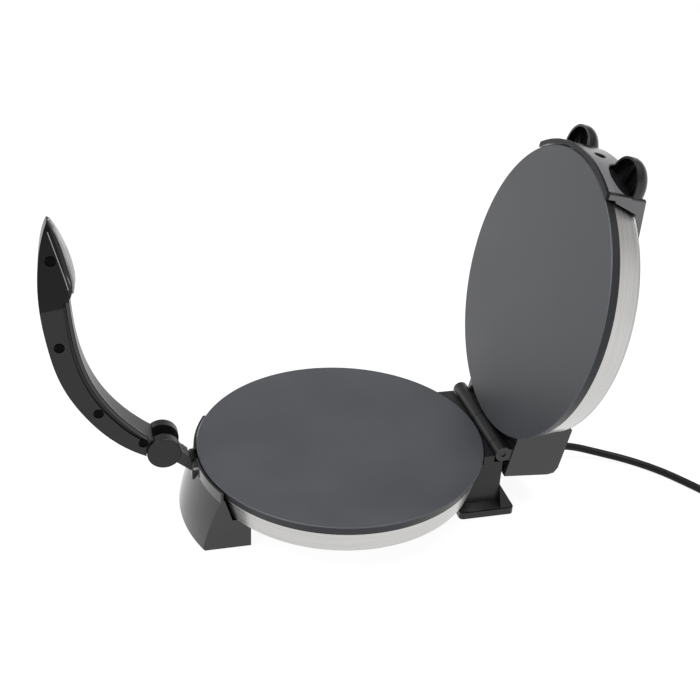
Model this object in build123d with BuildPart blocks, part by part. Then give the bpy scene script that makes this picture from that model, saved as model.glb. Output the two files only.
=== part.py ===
"""Electric flatbread press: two hinged hot plates on a front foot and a hinge stand, with a press lever.

Millimetres. Every piece is drawn with the lid shut, in the plate frame: the origin is the centre of the
lower cooking face, -Y is the front (lever side), +Y the back (hinge side), +Z up. `write` then stands the
piece on the worktop and swings the lid's pieces open to the rest pose.
"""
from build123d import *
from math import asin, atan2, cos, degrees, hypot, pi, radians, sin, sqrt
import os

# ------------------------------------------------------------------ driving dimensions
# Cooking plates and their steel bands (the lid's pair mirrors the base's pair)
PLATE_R = 127.0        # 10 inch plates
PLATE_WEB = 6.5        # metal under the cooking face
RIM_H = 9.4            # height of a plate's own rim
RIM_TAPER = 2.8        # how far the rim draws in
RIM_WALL = 4.0
EDGE_BEVEL = 0.8       # broken edge round the face
BAND_H = 20.1
BAND_TAPER = 5.4
BAND_WALL = 1.0
BAND_LIP = 8.0         # flange turned in at the band's far edge
FACE_H = 60.0          # lower cooking face above the worktop
LID_GAP = 0.6          # between the faces with the lid shut
LID_OPEN = 101.4       # degrees from shut to the open stop

# Inside each half
TUBE_R = 3.4           # sheathed heating element
ELEMENT_R = PLATE_R - 45.0              # element ring, centre line
ELEMENT_GAP = 36.0     # degrees left open at the back for the cold ends
LEG_H = 12.0           # cold end below the ring
SHIELD_R = PLATE_R - 25.0               # heat shield
SHIELD_T = 0.8
SHIELD_DEPTH = 17.8    # face to the shield's far side
SHIELD_RIM = 4.0       # upturned edge
STUD_R = 3.2
STUD_SHOULDER_R = 6.0
STUD_CIRCLE = PLATE_R - 72.0
STUDS = 3
PAN_T = 1.4            # bottom pan
PAN_MARGIN = 2.3       # pan edge inside the band's bottom edge
VENTS = 12
VENT_CIRCLE = PLATE_R - 43.0
VENT_L = 26.0
VENT_W = 4.0
COVER_T = 1.5          # lid's pressed top
COVER_STEP_R = PLATE_R - 63.0           # raised middle of the lid's top
COVER_STEP_H = 3.5
COVER_SLOPE = 8.0

# Hinge: an off-centre barrel between the plates
HINGE_Y = PLATE_R + 7.6                 # axis behind the plate's centre
HINGE_X = -6.5         # middle of the hinge and its stand
BARREL_R = 7.0
PIN_R = 2.5
KNUCKLES = (-64.0, -47.0, -8.0, 35.0, 51.0)   # where the barrel is parted, along X
KNUCKLE_GAP = 0.35
LEAF_T = 2.5
RUN_FIT = 0.06         # radial running clearance on a pin

# Feet
RIM_ROOM = 0.8         # feet and housings to a plate's rim
BAND_ROOM = 2.6        # feet to the steel band
FOOT_HALF = 60.0       # front foot, half width
FOOT_BACK = PLATE_R - 37.0              # its rear wall, in front of the centre
FOOT_WALL = 2.6
FOOT_LIP_T = 2.0       # raised lip that hugs the plate's rim
FOOT_LIP_R = PLATE_R + RIM_ROOM + FOOT_LIP_T
FOOT_LIP_TOP = 1.6     # below the cooking face
FOOT_LIP_H = 10.4
FOOT_TOE_R = FOOT_LIP_R + 14.0
FOOT_BELLY = 1.4       # how far the front face swells past a straight cone
SHELF_T = 3.0          # foot top under the bottom pan
PAD_T = 3.0
PAD_PROUD = 0.8        # rubber below the plastic
PAD_R = 8.0
STAND_HALF = 56.5      # hinge stand column, half width
STAND_BACK = HINGE_Y + 0.9
STAND_DROP = 7.5       # column top below the cooking face
BLOCK_TOP = 1.0        # block beside the plate's rim, below the cooking face
BLOCK_H = 21.0
SKIRT_FLARE = 10.0     # skirt wider than the column, each side
SKIRT_FRONT = HINGE_Y - 37.6
SKIRT_BACK = HINGE_Y + 13.4
SKIRT_H = 6.5          # upright edge of the skirt
SKIRT_SLOPE = 3.0      # rise of its top to the column
GUSSET_H = 20.0        # sloped web behind the column

# Lever, link and their pins
KNUCKLE_Y = -FOOT_LIP_R - 26.2          # lever pivot
KNUCKLE_Z = 12.5
KNUCKLE_R = 14.2
PIVOT_Y = -FOOT_LIP_R - 0.7             # link pivot in the front foot
PIVOT_Z = -9.5
LINK_HALF = 6.8
LINK_EYE_R = 5.0
LINK_HEAD_R = 6.0
LINK_PLAY = 0.4        # link to the cheeks and lugs beside it
LINK_SWING = 14.0      # how far the link swings up
LINK_NICK_R = 1.5      # nick across its top, which clears the lip of the shut lid there
LINK_PIN_R = 1.75
LEVER_PIN_R = 3.0
LUG_T = 4.5
LEVER_FAR = -13.0      # sides of the lever
LEVER_NEAR = 13.0
COVER_SEAM = 10.0      # where the lever's side cover starts
SEAM_GAP = 0.5
CHEEK_OUT = 15.5       # outside of the far cheek
CAP_OUT = 16.3         # outside of the near cap
LEVER_WALL = 3.0
SCREW_SINK_R = 4.3
SCREW_SINK_H = 2.2
INSERT_T = 2.0

# Lid housings
HOUSE_WALL = 2.8
HOUSE_OUT_R = PLATE_R + RIM_ROOM + HOUSE_WALL + 0.4   # front housing, outer wall
HOUSE_HALF = 65.0
HOUSE_IN_Y = -PLATE_R + 48.0            # inner end of the front housing, on the lid's top
HOUSE_EDGE_H = 32.3    # its height above the lid's face at the outer wall
HOUSE_CROWN_H = 42.0   # and at its inner end
HOUSE_LIP = 0.9        # how far the lip round the housing's open side and ends stands proud
HOUSE_LIP_T = 2.0
GROOVE_W = 0.9         # groove inside that lip
GROOVE_D = 0.7
EAR_TURN = 20.0        # finger lifts, degrees either side of the middle
EAR_R = 22.0           # round lobe, seen from above
EAR_OUT = 17.0         # its reach beyond the outer wall
EAR_MOUTH_H = 23.4     # edge of its mouth above the lid's face
EAR_TOP_H = 36.0
EAR_ROUND = 9.0        # rounding of its top
EAR_SCOOP = 13.0       # depth of the finger hollow below the mouth's edge
EAR_WALL = 2.0
EAR_RIB_T = 1.4
EAR_RIB_UP = 6.0       # its ribs' lower edges above the mouth's edge
REAR_HALF = 58.5       # rear housing, half width about the hinge's middle
REAR_TOP_H = 57.0
REAR_BACK_Y = HINGE_Y + 22.0
REAR_LEAN = 5.0        # its back wall leans in
REAR_FLOOR_H = 7.6     # underside behind the plate, above the lid's face
REAR_FRONT_Y = HINGE_Y - 30.6           # where the top starts to fall to the lid
REAR_TOE_Y = HINGE_Y - 54.6
REAR_TOE_H = 5.0
LAMP_R = 4.2
LAMP_PITCH = 28.0
LAMP_Y = HINGE_Y - 16.6
LAMP_DEPTH = 14.0

# Mains lead
CORD_R = 3.65
CORD_X = -14.0
CORD_EXIT_DROP = 42.0  # exit below the cooking face
RELIEF_L = 30.0
RELIEF_R = 6.4
BOSS_R = 8.6
COIL_IN_R = 32.7
COIL_OUT_R = 47.3
COIL_H = 13.6
LEAD_IN = 30.0         # straight lead into the coil's outer turn, part of the coil
LEAD_IN_TURN = 31.5    # degrees, the way that lead points
LEAD_OUT = 48.0        # and the straight lead from the coil to the plug
LEAD_OUT_TURN = 90.0
LEAD_LIFT = 0.2        # slack round the coil and under the cord
LAST_RUN = 28.0        # straight run of cord before the coil's lead
PLUG_L = 34.0
PLUG_W = 25.0
PLUG_H = 14.0

# ------------------------------------------------------------------ sizes that follow
DOWN, UP = -1, 1                        # way from a cooking face into its own half
TRIM = 4 * PLATE_R                      # side of a block that only trims another shape
HALF_TURN = 180.0
FACE = {DOWN: 0.0, UP: LID_GAP}
BAND_TOP_R = PLATE_R - RIM_TAPER
BAND_END_R = BAND_TOP_R - BAND_TAPER
SHELL_H = RIM_H + BAND_H                # face to the band's far edge
PAN_Z = -SHELL_H - PAN_T                # underside of the bottom pan
COVER_Z = LID_GAP + SHELL_H + COVER_T   # flat part of the lid's top
HINGE_Z = LID_GAP / 2
FLOOR = -FACE_H
FOOT_Z = FLOOR + PAD_PROUD              # underside of the plastic feet
RELIEF_Y = SKIRT_BACK - 1.0             # end of the boss that the strain relief leaves
CORD_Z = -CORD_EXIT_DROP
CORD_START = (CORD_X, RELIEF_Y + RELIEF_L, CORD_Z)
COIL_AT = (CORD_X + 91.6, CORD_START[1] + 218.7)


def face_z(way, depth):
    """Height of a point a given depth behind one of the two cooking faces."""
    return FACE[way] + way * depth


def shell_room(way, rim_gap, band_gap, depth):
    """Space that a plate and its band take up, with room around them, down to a given depth."""
    with BuildPart(mode=Mode.PRIVATE) as room:
        with BuildSketch(Plane.XZ):
            with BuildLine():
                Polyline(
                    (0, face_z(way, -SHELL_H)),
                    (PLATE_R + rim_gap, face_z(way, -SHELL_H)),
                    (PLATE_R + rim_gap, face_z(way, RIM_H)),
                    (BAND_TOP_R + band_gap, face_z(way, RIM_H + rim_gap)),
                    (BAND_END_R + band_gap, face_z(way, depth)),
                    (0, face_z(way, depth)),
                    close=True,
                )
            make_face()
        revolve(axis=Axis.Z)
    return room.part


def turned_plane(angle):
    """Upright plane through the plates' axis, its X pointing out at the given angle."""
    a = radians(angle)
    return Plane(origin=(0, 0, 0), x_dir=(cos(a), sin(a), 0), z_dir=(sin(a), -cos(a), 0))


# ------------------------------------------------------------------ what both halves share
def cooking_plate(way):
    """Cast plate: flat face, broken edge, tapered rim."""
    with BuildPart() as plate:
        with BuildSketch(Plane.XZ):
            with BuildLine():
                Polyline(
                    (0, face_z(way, 0)),
                    (PLATE_R - EDGE_BEVEL, face_z(way, 0)),
                    (PLATE_R, face_z(way, EDGE_BEVEL)),
                    (BAND_TOP_R, face_z(way, RIM_H)),
                    (BAND_TOP_R - RIM_WALL, face_z(way, RIM_H)),
                    (PLATE_R - RIM_WALL - RIM_TAPER / 2, face_z(way, PLATE_WEB)),
                    (0, face_z(way, PLATE_WEB)),
                    close=True,
                )
            make_face()
        revolve(axis=Axis.Z)
    return plate


def element(way):
    """Ring element against the plate's back, its two cold ends turned away from the plate."""
    ring_z = face_z(way, PLATE_WEB + TUBE_R)
    start = 90 + ELEMENT_GAP / 2
    ends = [(ELEMENT_R * cos(radians(a)), ELEMENT_R * sin(radians(a))) for a in (start, HALF_TURN - start)]
    with BuildPart() as tube:
        with BuildSketch(turned_plane(start)):
            with Locations((ELEMENT_R, ring_z)):
                Circle(TUBE_R)
        revolve(axis=Axis.Z, revolution_arc=360 - ELEMENT_GAP)
        with Locations(*[(x, y, ring_z) for x, y in ends]):
            Sphere(TUBE_R)
        with Locations(*[(x, y, ring_z + way * LEG_H / 2) for x, y in ends]):
            Cylinder(TUBE_R, LEG_H)
    return tube


def band(way):
    """Steel band, drawn in towards a flange at its far edge."""
    with BuildPart() as ring:
        with BuildSketch(Plane.XZ):
            with BuildLine():
                Polyline(
                    (BAND_TOP_R, face_z(way, RIM_H)),
                    (BAND_END_R, face_z(way, SHELL_H)),
                    (BAND_END_R - BAND_LIP, face_z(way, SHELL_H)),
                    (BAND_END_R - BAND_LIP, face_z(way, SHELL_H - BAND_WALL)),
                    (BAND_END_R - BAND_WALL, face_z(way, SHELL_H - BAND_WALL)),
                    (BAND_TOP_R - BAND_WALL, face_z(way, RIM_H)),
                    close=True,
                )
            make_face()
        revolve(axis=Axis.Z)
    return ring


def shield(way):
    """Bright tray that throws the heat back at the plate."""
    with BuildPart() as tray:
        with BuildSketch(Plane.XZ):
            with BuildLine():
                Polyline(
                    (0, face_z(way, SHIELD_DEPTH)),
                    (SHIELD_R, face_z(way, SHIELD_DEPTH)),
                    (SHIELD_R + SHIELD_RIM, face_z(way, SHIELD_DEPTH - SHIELD_RIM)),
                    (SHIELD_R + SHIELD_RIM - SHIELD_T, face_z(way, SHIELD_DEPTH - SHIELD_RIM)),
                    (SHIELD_R - SHIELD_T / 2, face_z(way, SHIELD_DEPTH - SHIELD_T)),
                    (0, face_z(way, SHIELD_DEPTH - SHIELD_T)),
                    close=True,
                )
            make_face()
        revolve(axis=Axis.Z)
        with BuildSketch(Plane.XY.offset(face_z(way, SHIELD_DEPTH))):
            with PolarLocations(STUD_CIRCLE, STUDS, start_angle=-90):
                Circle(STUD_R)
            with PolarLocations(ELEMENT_R, 2, start_angle=90 - ELEMENT_GAP / 2,
                                angular_range=2 * ELEMENT_GAP):
                Circle(TUBE_R + 1)
        extrude(amount=SHIELD_RIM, both=True, mode=Mode.SUBTRACT)
    return tray


def studs(way, back):
    """Shouldered studs from the plate's back to what closes the half; the shield sits on the shoulders."""
    with BuildPart() as posts:
        with BuildSketch(Plane.XY.offset(face_z(way, PLATE_WEB))):
            with PolarLocations(STUD_CIRCLE, STUDS, start_angle=-90):
                Circle(STUD_R)
        extrude(amount=way * (back - PLATE_WEB))
        with BuildSketch(Plane.XY.offset(face_z(way, SHIELD_DEPTH))):
            with PolarLocations(STUD_CIRCLE, STUDS, start_angle=-90):
                Circle(STUD_SHOULDER_R)
        extrude(amount=way * (back - SHIELD_DEPTH))
    return posts


def fuse(way, x, y):
    """Thermal cut-out clipped to the back of the shield."""
    fuse_l, fuse_r = 22.0, 3.0
    with BuildPart() as link:
        with Locations((x, y, face_z(way, SHIELD_DEPTH + fuse_r))):
            Cylinder(fuse_r, fuse_l, rotation=(0, 90, 0))
            Cylinder(fuse_r / 3, fuse_l * 1.6, rotation=(0, 90, 0))
    return link


# ------------------------------------------------------------------ base
lower_plate = cooking_plate(DOWN)
lower_element = element(DOWN)
base_band = band(DOWN)
lower_heat_shield = shield(DOWN)
lower_studs = studs(DOWN, SHELL_H)
lower_thermal_fuse = fuse(DOWN, 0, -30)

SCREW_R = 2.0
SCREW_HEAD_R = 4.0
SCREW_HEAD_H = 2.4
FOOT_SCREW_X = 24.0
FOOT_SCREW_Y = PLATE_R - 26.0
foot_screw_spots = [
    (-FOOT_SCREW_X, -FOOT_SCREW_Y),
    (FOOT_SCREW_X, -FOOT_SCREW_Y),
    (HINGE_X - FOOT_SCREW_X, FOOT_SCREW_Y),
    (HINGE_X + FOOT_SCREW_X, FOOT_SCREW_Y),
]

with BuildPart() as bottom_pan:
    with Locations((0, 0, PAN_Z + PAN_T / 2)):
        Cylinder(BAND_END_R - PAN_MARGIN, PAN_T)
    with BuildSketch(Plane.XY.offset(PAN_Z)):
        with PolarLocations(VENT_CIRCLE, VENTS, start_angle=HALF_TURN / VENTS):
            SlotOverall(VENT_L, VENT_W)
        with Locations(*foot_screw_spots):
            Circle(SCREW_R)
    extrude(amount=PAN_T, mode=Mode.SUBTRACT)

with BuildPart() as foot_screws:
    with BuildSketch(Plane.XY.offset(PAN_Z - SHELF_T)):
        with Locations(*foot_screw_spots):
            Circle(SCREW_R)
    extrude(amount=SHELF_T + PAN_T + 5)
    with BuildSketch(Plane.XY.offset(PAN_Z - SHELF_T)):
        with Locations(*foot_screw_spots):
            Circle(SCREW_HEAD_R)
    extrude(amount=-SCREW_HEAD_H)

with BuildPart() as foot_nuts:
    with BuildSketch(Plane.XY.offset(PAN_Z + PAN_T)):
        with Locations(*foot_screw_spots):
            RegularPolygon(SCREW_HEAD_R, 6)
        with Locations(*foot_screw_spots):
            Circle(SCREW_R, mode=Mode.SUBTRACT)
    extrude(amount=3)


def foot_section(inset, top):
    """Radial section of the front foot: toe, swelling front face, and the lip that hugs the plate's rim."""
    toe = (FOOT_TOE_R - inset, FOOT_Z + 2)
    shoulder = (FOOT_LIP_R - inset, -FOOT_LIP_TOP - FOOT_LIP_H)
    belly = ((toe[0] + shoulder[0]) / 2 + FOOT_BELLY, (toe[1] + shoulder[1]) / 2)
    with BuildSketch(Plane.XZ, mode=Mode.PRIVATE) as section:
        with BuildLine():
            Polyline((FOOT_HALF, FOOT_Z), (toe[0] - 1.5, FOOT_Z), toe)
            ThreePointArc(toe, belly, shoulder)
            Polyline(shoulder, (shoulder[0], top), (FOOT_HALF, top), (FOOT_HALF, FOOT_Z))
        make_face()
    return section.sketch


LUG_OUT = LINK_HALF + LINK_PLAY + LUG_T
LUG_Y = FOOT_LIP_R + 3.4
foot_room = shell_room(DOWN, RIM_ROOM, BAND_ROOM, -PAN_Z)

foot_wall_room = shell_room(DOWN, RIM_ROOM + FOOT_WALL, BAND_ROOM + FOOT_WALL, SHELF_T - PAN_Z)
FRONT_PAD = (FOOT_HALF - PAD_R - 4, FOOT_BACK + PAD_R + 6)
front_pad_spots = [(-FRONT_PAD[0], -FRONT_PAD[1]), (FRONT_PAD[0], -FRONT_PAD[1]), (0, -FOOT_TOE_R + 14)]

with BuildPart(mode=Mode.PRIVATE) as foot_hollow:
    add(foot_section(FOOT_WALL, -FOOT_LIP_TOP - FOOT_WALL))
    revolve(axis=Axis.Z)
    with Locations((0, -FOOT_BACK - FOOT_WALL, 0)):
        Box(2 * (FOOT_HALF - FOOT_WALL), TRIM, TRIM, align=(Align.CENTER, Align.MAX, Align.CENTER),
            mode=Mode.INTERSECT)
    add(foot_wall_room, mode=Mode.SUBTRACT)
    with Locations((0, -FOOT_TOE_R, 0)):
        Box(2 * LUG_OUT, 2 * (FOOT_TOE_R - FOOT_LIP_R) + 6, -PAN_Z,
            align=(Align.CENTER, Align.CENTER, Align.MAX), mode=Mode.SUBTRACT)
    with Locations(*[(x, y, FOOT_Z) for x, y in front_pad_spots]):
        Cylinder(PAD_R + 2, PAN_Z - SHELF_T - FOOT_Z + 1, align=(Align.CENTER, Align.CENTER, Align.MIN),
                 mode=Mode.SUBTRACT)

with BuildPart() as front_foot:
    add(foot_section(0, -FOOT_LIP_TOP))
    revolve(axis=Axis.Z)
    with Locations((0, -FOOT_BACK, 0)):
        Box(2 * FOOT_HALF, TRIM, TRIM, align=(Align.CENTER, Align.MAX, Align.CENTER), mode=Mode.INTERSECT)
    with Locations((0, -LUG_Y, -FOOT_LIP_TOP - 2)):
        Box(2 * LUG_OUT, 2 * (LUG_Y - FOOT_LIP_R) + 4, 16, align=(Align.CENTER, Align.MIN, Align.MAX))
    add(foot_room, mode=Mode.SUBTRACT)
    add(foot_hollow.part, mode=Mode.SUBTRACT)
    with Locations((0, PIVOT_Y - LINK_EYE_R - 1.5, 5)):
        Box(2 * (LINK_HALF + LINK_PLAY), 20, 5 + LINK_EYE_R - PIVOT_Z + 1.2,
            align=(Align.CENTER, Align.MIN, Align.MAX), mode=Mode.SUBTRACT)
    with Locations((0, PIVOT_Y, PIVOT_Z)):
        Cylinder(LINK_PIN_R, 2 * LUG_OUT + 2, rotation=(0, 90, 0), mode=Mode.SUBTRACT)
    with BuildSketch(Plane.XY.offset(PAN_Z - SHELF_T - 1)):
        with Locations(*foot_screw_spots[:2]):
            Circle(SCREW_R)
    extrude(amount=SHELF_T + 1, mode=Mode.SUBTRACT)
    with Locations(*[(x, y, FLOOR) for x, y in front_pad_spots]):
        Cylinder(PAD_R, PAD_T, align=(Align.CENTER, Align.CENTER, Align.MIN), mode=Mode.SUBTRACT)

with BuildPart() as link_pivot_pin:
    with Locations((0, PIVOT_Y, PIVOT_Z)):
        Cylinder(LINK_PIN_R, 2 * LUG_OUT - 1, rotation=(0, 90, 0))

COLUMN_FRONT = HINGE_Y - 28.6
stand_room = shell_room(DOWN, RIM_ROOM, 0.5, -PAN_Z)
BASE_LEAF = ((KNUCKLES[0], KNUCKLES[1] - KNUCKLE_GAP), (KNUCKLES[2] + KNUCKLE_GAP, KNUCKLES[3] - KNUCKLE_GAP))
LID_LEAF = ((KNUCKLES[1], KNUCKLES[2] - KNUCKLE_GAP), (KNUCKLES[3] + KNUCKLE_GAP, KNUCKLES[4]))
LEAF_DROP = 18.0

LEAF_SCREW_Z = -STAND_DROP - 10
LEAF_SCREW_L = 8.0
base_leaf_screws = [(BASE_LEAF[0][0] + BASE_LEAF[0][1]) / 2, BASE_LEAF[1][0] + 8, BASE_LEAF[1][1] - 8]
PAD_Y = (SKIRT_FRONT + SKIRT_BACK) / 2
PAD_X = STAND_HALF + SKIRT_FLARE - PAD_R - 3
rear_pad_spots = [(HINGE_X - PAD_X, PAD_Y), (HINGE_X + PAD_X, PAD_Y)]

with BuildPart(mode=Mode.PRIVATE) as stand_hollow:
    with Locations((HINGE_X, COLUMN_FRONT + FOOT_WALL, FOOT_Z)):
        Box(2 * (PAD_X - PAD_R - 2), STAND_BACK - COLUMN_FRONT - 2 * FOOT_WALL - LEAF_T,
            -STAND_DROP - FOOT_WALL - 2 - FOOT_Z, align=(Align.CENTER, Align.MIN, Align.MIN))
    add(shell_room(DOWN, RIM_ROOM + FOOT_WALL, FOOT_WALL, SHELF_T - PAN_Z), mode=Mode.SUBTRACT)
    with Locations((0, STAND_BACK - LEAF_T, LEAF_SCREW_Z)):
        Box(TRIM, 2 * LEAF_SCREW_L + 2, 4 * SCREW_R, mode=Mode.SUBTRACT)

with BuildPart() as hinge_stand:
    # column, and the block that fills the corner between the plate's rim and the barrel
    with Locations((HINGE_X, COLUMN_FRONT, -STAND_DROP)):
        Box(2 * STAND_HALF, STAND_BACK - COLUMN_FRONT, FACE_H - STAND_DROP - PAD_PROUD,
            align=(Align.CENTER, Align.MIN, Align.MAX))
    with Locations((HINGE_X, COLUMN_FRONT, -BLOCK_TOP)):
        Box(2 * STAND_HALF, HINGE_Y - BARREL_R - KNUCKLE_GAP - COLUMN_FRONT, BLOCK_H,
            align=(Align.CENTER, Align.MIN, Align.MAX))
    # flared skirt
    with BuildSketch(Plane.XY.offset(FOOT_Z)):
        with Locations((HINGE_X, (SKIRT_FRONT + SKIRT_BACK) / 2)):
            RectangleRounded(2 * (STAND_HALF + SKIRT_FLARE), SKIRT_BACK - SKIRT_FRONT, 4)
    extrude(amount=SKIRT_H)
    with BuildSketch(Plane.XY.offset(FOOT_Z + SKIRT_H)):
        with Locations((HINGE_X, (SKIRT_FRONT + SKIRT_BACK) / 2)):
            Rectangle(2 * (STAND_HALF + SKIRT_FLARE) - 3, SKIRT_BACK - SKIRT_FRONT - 3)
    with BuildSketch(Plane.XY.offset(FOOT_Z + SKIRT_H + SKIRT_SLOPE)):
        with Locations((HINGE_X, (COLUMN_FRONT + STAND_BACK) / 2)):
            Rectangle(2 * STAND_HALF, STAND_BACK - COLUMN_FRONT)
    loft()
    # sloped web behind the column
    with BuildSketch(Plane.XY.offset(FOOT_Z + SKIRT_H)):
        with Locations((HINGE_X, STAND_BACK)):
            Rectangle(2 * (STAND_HALF + SKIRT_FLARE) - 3, SKIRT_BACK - STAND_BACK - 1.5,
                      align=(Align.CENTER, Align.MIN))
    with BuildSketch(Plane.XY.offset(FOOT_Z + SKIRT_H + GUSSET_H)):
        with Locations((HINGE_X, STAND_BACK)):
            Rectangle(2 * STAND_HALF, 0.3, align=(Align.CENTER, Align.MIN))
    loft()
    # boss for the strain relief
    with Locations((CORD_X, STAND_BACK - 3, CORD_Z)):
        Cylinder(BOSS_R, RELIEF_Y - STAND_BACK + 3, rotation=(-90, 0, 0),
                 align=(Align.CENTER, Align.CENTER, Align.MIN))
    add(stand_room, mode=Mode.SUBTRACT)
    # tongue under the bottom pan, for the screws
    with Locations((HINGE_X, COLUMN_FRONT + 1, PAN_Z)):
        Box(2 * (FOOT_SCREW_X + 10), COLUMN_FRONT - SKIRT_FRONT + 3, SHELF_T,
            align=(Align.CENTER, Align.MAX, Align.MAX))
    # hollow from below, pockets for the hinge leaf and pads, screw holes
    add(stand_hollow.part, mode=Mode.SUBTRACT)
    for x0, x1 in BASE_LEAF:
        with Locations(((x0 + x1) / 2, STAND_BACK, -STAND_DROP + 1)):
            Box(x1 - x0, LEAF_T, LEAF_DROP, align=(Align.CENTER, Align.MAX, Align.MAX), mode=Mode.SUBTRACT)
    with Locations(*[(x, STAND_BACK - LEAF_T, LEAF_SCREW_Z) for x in base_leaf_screws]):
        Cylinder(SCREW_R, LEAF_SCREW_L, rotation=(90, 0, 0), align=(Align.CENTER, Align.CENTER, Align.MIN),
                 mode=Mode.SUBTRACT)
    with BuildSketch(Plane.XY.offset(PAN_Z - SHELF_T - 1)):
        with Locations(*foot_screw_spots[2:]):
            Circle(SCREW_R)
    extrude(amount=SHELF_T + 1, mode=Mode.SUBTRACT)
    with Locations(*[(x, y, FLOOR) for x, y in rear_pad_spots]):
        Cylinder(PAD_R, PAD_T, align=(Align.CENTER, Align.CENTER, Align.MIN), mode=Mode.SUBTRACT)


def foot_pads(spots):
    """Rubber pads let into the underside of a foot."""
    with BuildPart() as pads:
        with Locations(*[(x, y, FLOOR) for x, y in spots]):
            Cylinder(PAD_R, PAD_T, align=(Align.CENTER, Align.CENTER, Align.MIN))
    return pads


front_pads = foot_pads(front_pad_spots)
rear_pads = foot_pads(rear_pad_spots)


# ------------------------------------------------------------------ hinge
def leaf_screws(spots, into):
    """Countersunk-style screws in a hinge leaf: a flat head on the leaf and a shank into the plastic."""
    with BuildPart() as screws:
        for x, y, z in spots:
            with BuildSketch(Plane(origin=(x, y, z), x_dir=(1, 0, 0), z_dir=into)):
                Circle(SCREW_R)
            extrude(amount=LEAF_T + LEAF_SCREW_L)
            with BuildSketch(Plane(origin=(x, y, z), x_dir=(1, 0, 0), z_dir=into)):
                Circle(SCREW_HEAD_R - 0.8)
            extrude(amount=-1.2)
    return screws


def barrel(spans, bore):
    """Hinge knuckles on the given stretches of X."""
    with BuildPart(mode=Mode.PRIVATE) as tube:
        for x0, x1 in spans:
            with BuildSketch(Plane.YZ.offset(x0)):
                with Locations((HINGE_Y, HINGE_Z)):
                    Circle(BARREL_R)
                    Circle(bore, mode=Mode.SUBTRACT)
            extrude(amount=x1 - x0)
    return tube.part


with BuildPart() as base_hinge_leaf:
    for x0, x1 in BASE_LEAF:
        with Locations(((x0 + x1) / 2, STAND_BACK, HINGE_Z - PIN_R - 1)):
            Box(x1 - x0, LEAF_T, HINGE_Z - PIN_R - 1 + STAND_DROP - 1 + LEAF_DROP,
                align=(Align.CENTER, Align.MAX, Align.MAX))
    with Locations(*[(x, STAND_BACK, LEAF_SCREW_Z) for x in base_leaf_screws]):
        Cylinder(SCREW_R, 3 * LEAF_T, rotation=(90, 0, 0), mode=Mode.SUBTRACT)
    add(barrel(BASE_LEAF, PIN_R))

base_leaf_screws_set = leaf_screws([(x, STAND_BACK, LEAF_SCREW_Z) for x in base_leaf_screws], (0, -1, 0))

with BuildPart() as hinge_pin:
    with Locations(((KNUCKLES[0] + KNUCKLES[-1]) / 2, HINGE_Y, HINGE_Z)):
        Cylinder(PIN_R, KNUCKLES[-1] - KNUCKLES[0] - 2, rotation=(0, 90, 0))

REAR_FLOOR_Z = LID_GAP + REAR_FLOOR_H
LID_LEAF_Y = (HINGE_Y - 5.6, HINGE_Y + 17.0)
lid_leaf_screw_spots = [
    (LID_LEAF[0][0] + 8, LID_LEAF_Y[1] - 5, REAR_FLOOR_Z),
    (LID_LEAF[0][1] - 8, LID_LEAF_Y[1] - 5, REAR_FLOOR_Z),
    ((LID_LEAF[1][0] + LID_LEAF[1][1]) / 2, LID_LEAF_Y[1] - 5, REAR_FLOOR_Z),
]

with BuildPart() as lid_hinge_leaf:
    for x0, x1 in LID_LEAF:
        with Locations(((x0 + x1) / 2, LID_LEAF_Y[0], REAR_FLOOR_Z)):
            Box(x1 - x0, LID_LEAF_Y[1] - LID_LEAF_Y[0], LEAF_T, align=(Align.CENTER, Align.MIN, Align.MIN))
        with Locations(((x0 + x1) / 2, LID_LEAF_Y[0], REAR_FLOOR_Z)):
            Box(x1 - x0, 2 * (HINGE_Y - LID_LEAF_Y[0]), REAR_FLOOR_Z - HINGE_Z - PIN_R - 1,
                align=(Align.CENTER, Align.MIN, Align.MAX))
    with Locations(*lid_leaf_screw_spots):
        Cylinder(SCREW_R, 3 * LEAF_T, mode=Mode.SUBTRACT)
    add(barrel(LID_LEAF, PIN_R + RUN_FIT))

lid_leaf_screws_set = leaf_screws(lid_leaf_screw_spots, (0, 0, 1))

# ------------------------------------------------------------------ inner wiring and mains lead
BLOCK_AT = (HINGE_X, HINGE_Y - 44.6)
BLOCK_SIZE = (26.0, 14.0, 9.0)
WIRE_R = 1.3

with BuildPart() as terminal_block:
    with Locations((BLOCK_AT[0], BLOCK_AT[1], PAN_Z + PAN_T)):
        Box(*BLOCK_SIZE, align=(Align.CENTER, Align.CENTER, Align.MIN))


def wire(points, bend=4.0):
    """Insulated lead through the given points."""
    with BuildPart(mode=Mode.PRIVATE) as lead:
        with BuildLine() as path:
            FilletPolyline(*points, radius=bend)
        start = path.line @ 0
        with BuildSketch(Plane(origin=start, z_dir=path.line % 0)):
            Circle(WIRE_R)
        sweep(path=path.line)
    return lead.part


def cold_end(way, side):
    """Tip of one of the element's cold ends."""
    a = radians(90 - side * ELEMENT_GAP / 2)
    return (ELEMENT_R * cos(a), ELEMENT_R * sin(a), face_z(way, PLATE_WEB + TUBE_R + LEG_H))


with BuildPart() as lower_leads:
    for side in (-1, 1):
        tip = cold_end(DOWN, side)
        low = PAN_Z + PAN_T + BLOCK_SIZE[2] / 2
        edge = BLOCK_AT[0] + side * BLOCK_SIZE[0] / 2
        add(wire([tip, (tip[0], tip[1], low), (edge + side * 6, BLOCK_AT[1], low), (edge, BLOCK_AT[1], low)],
                 2.0))

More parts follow.
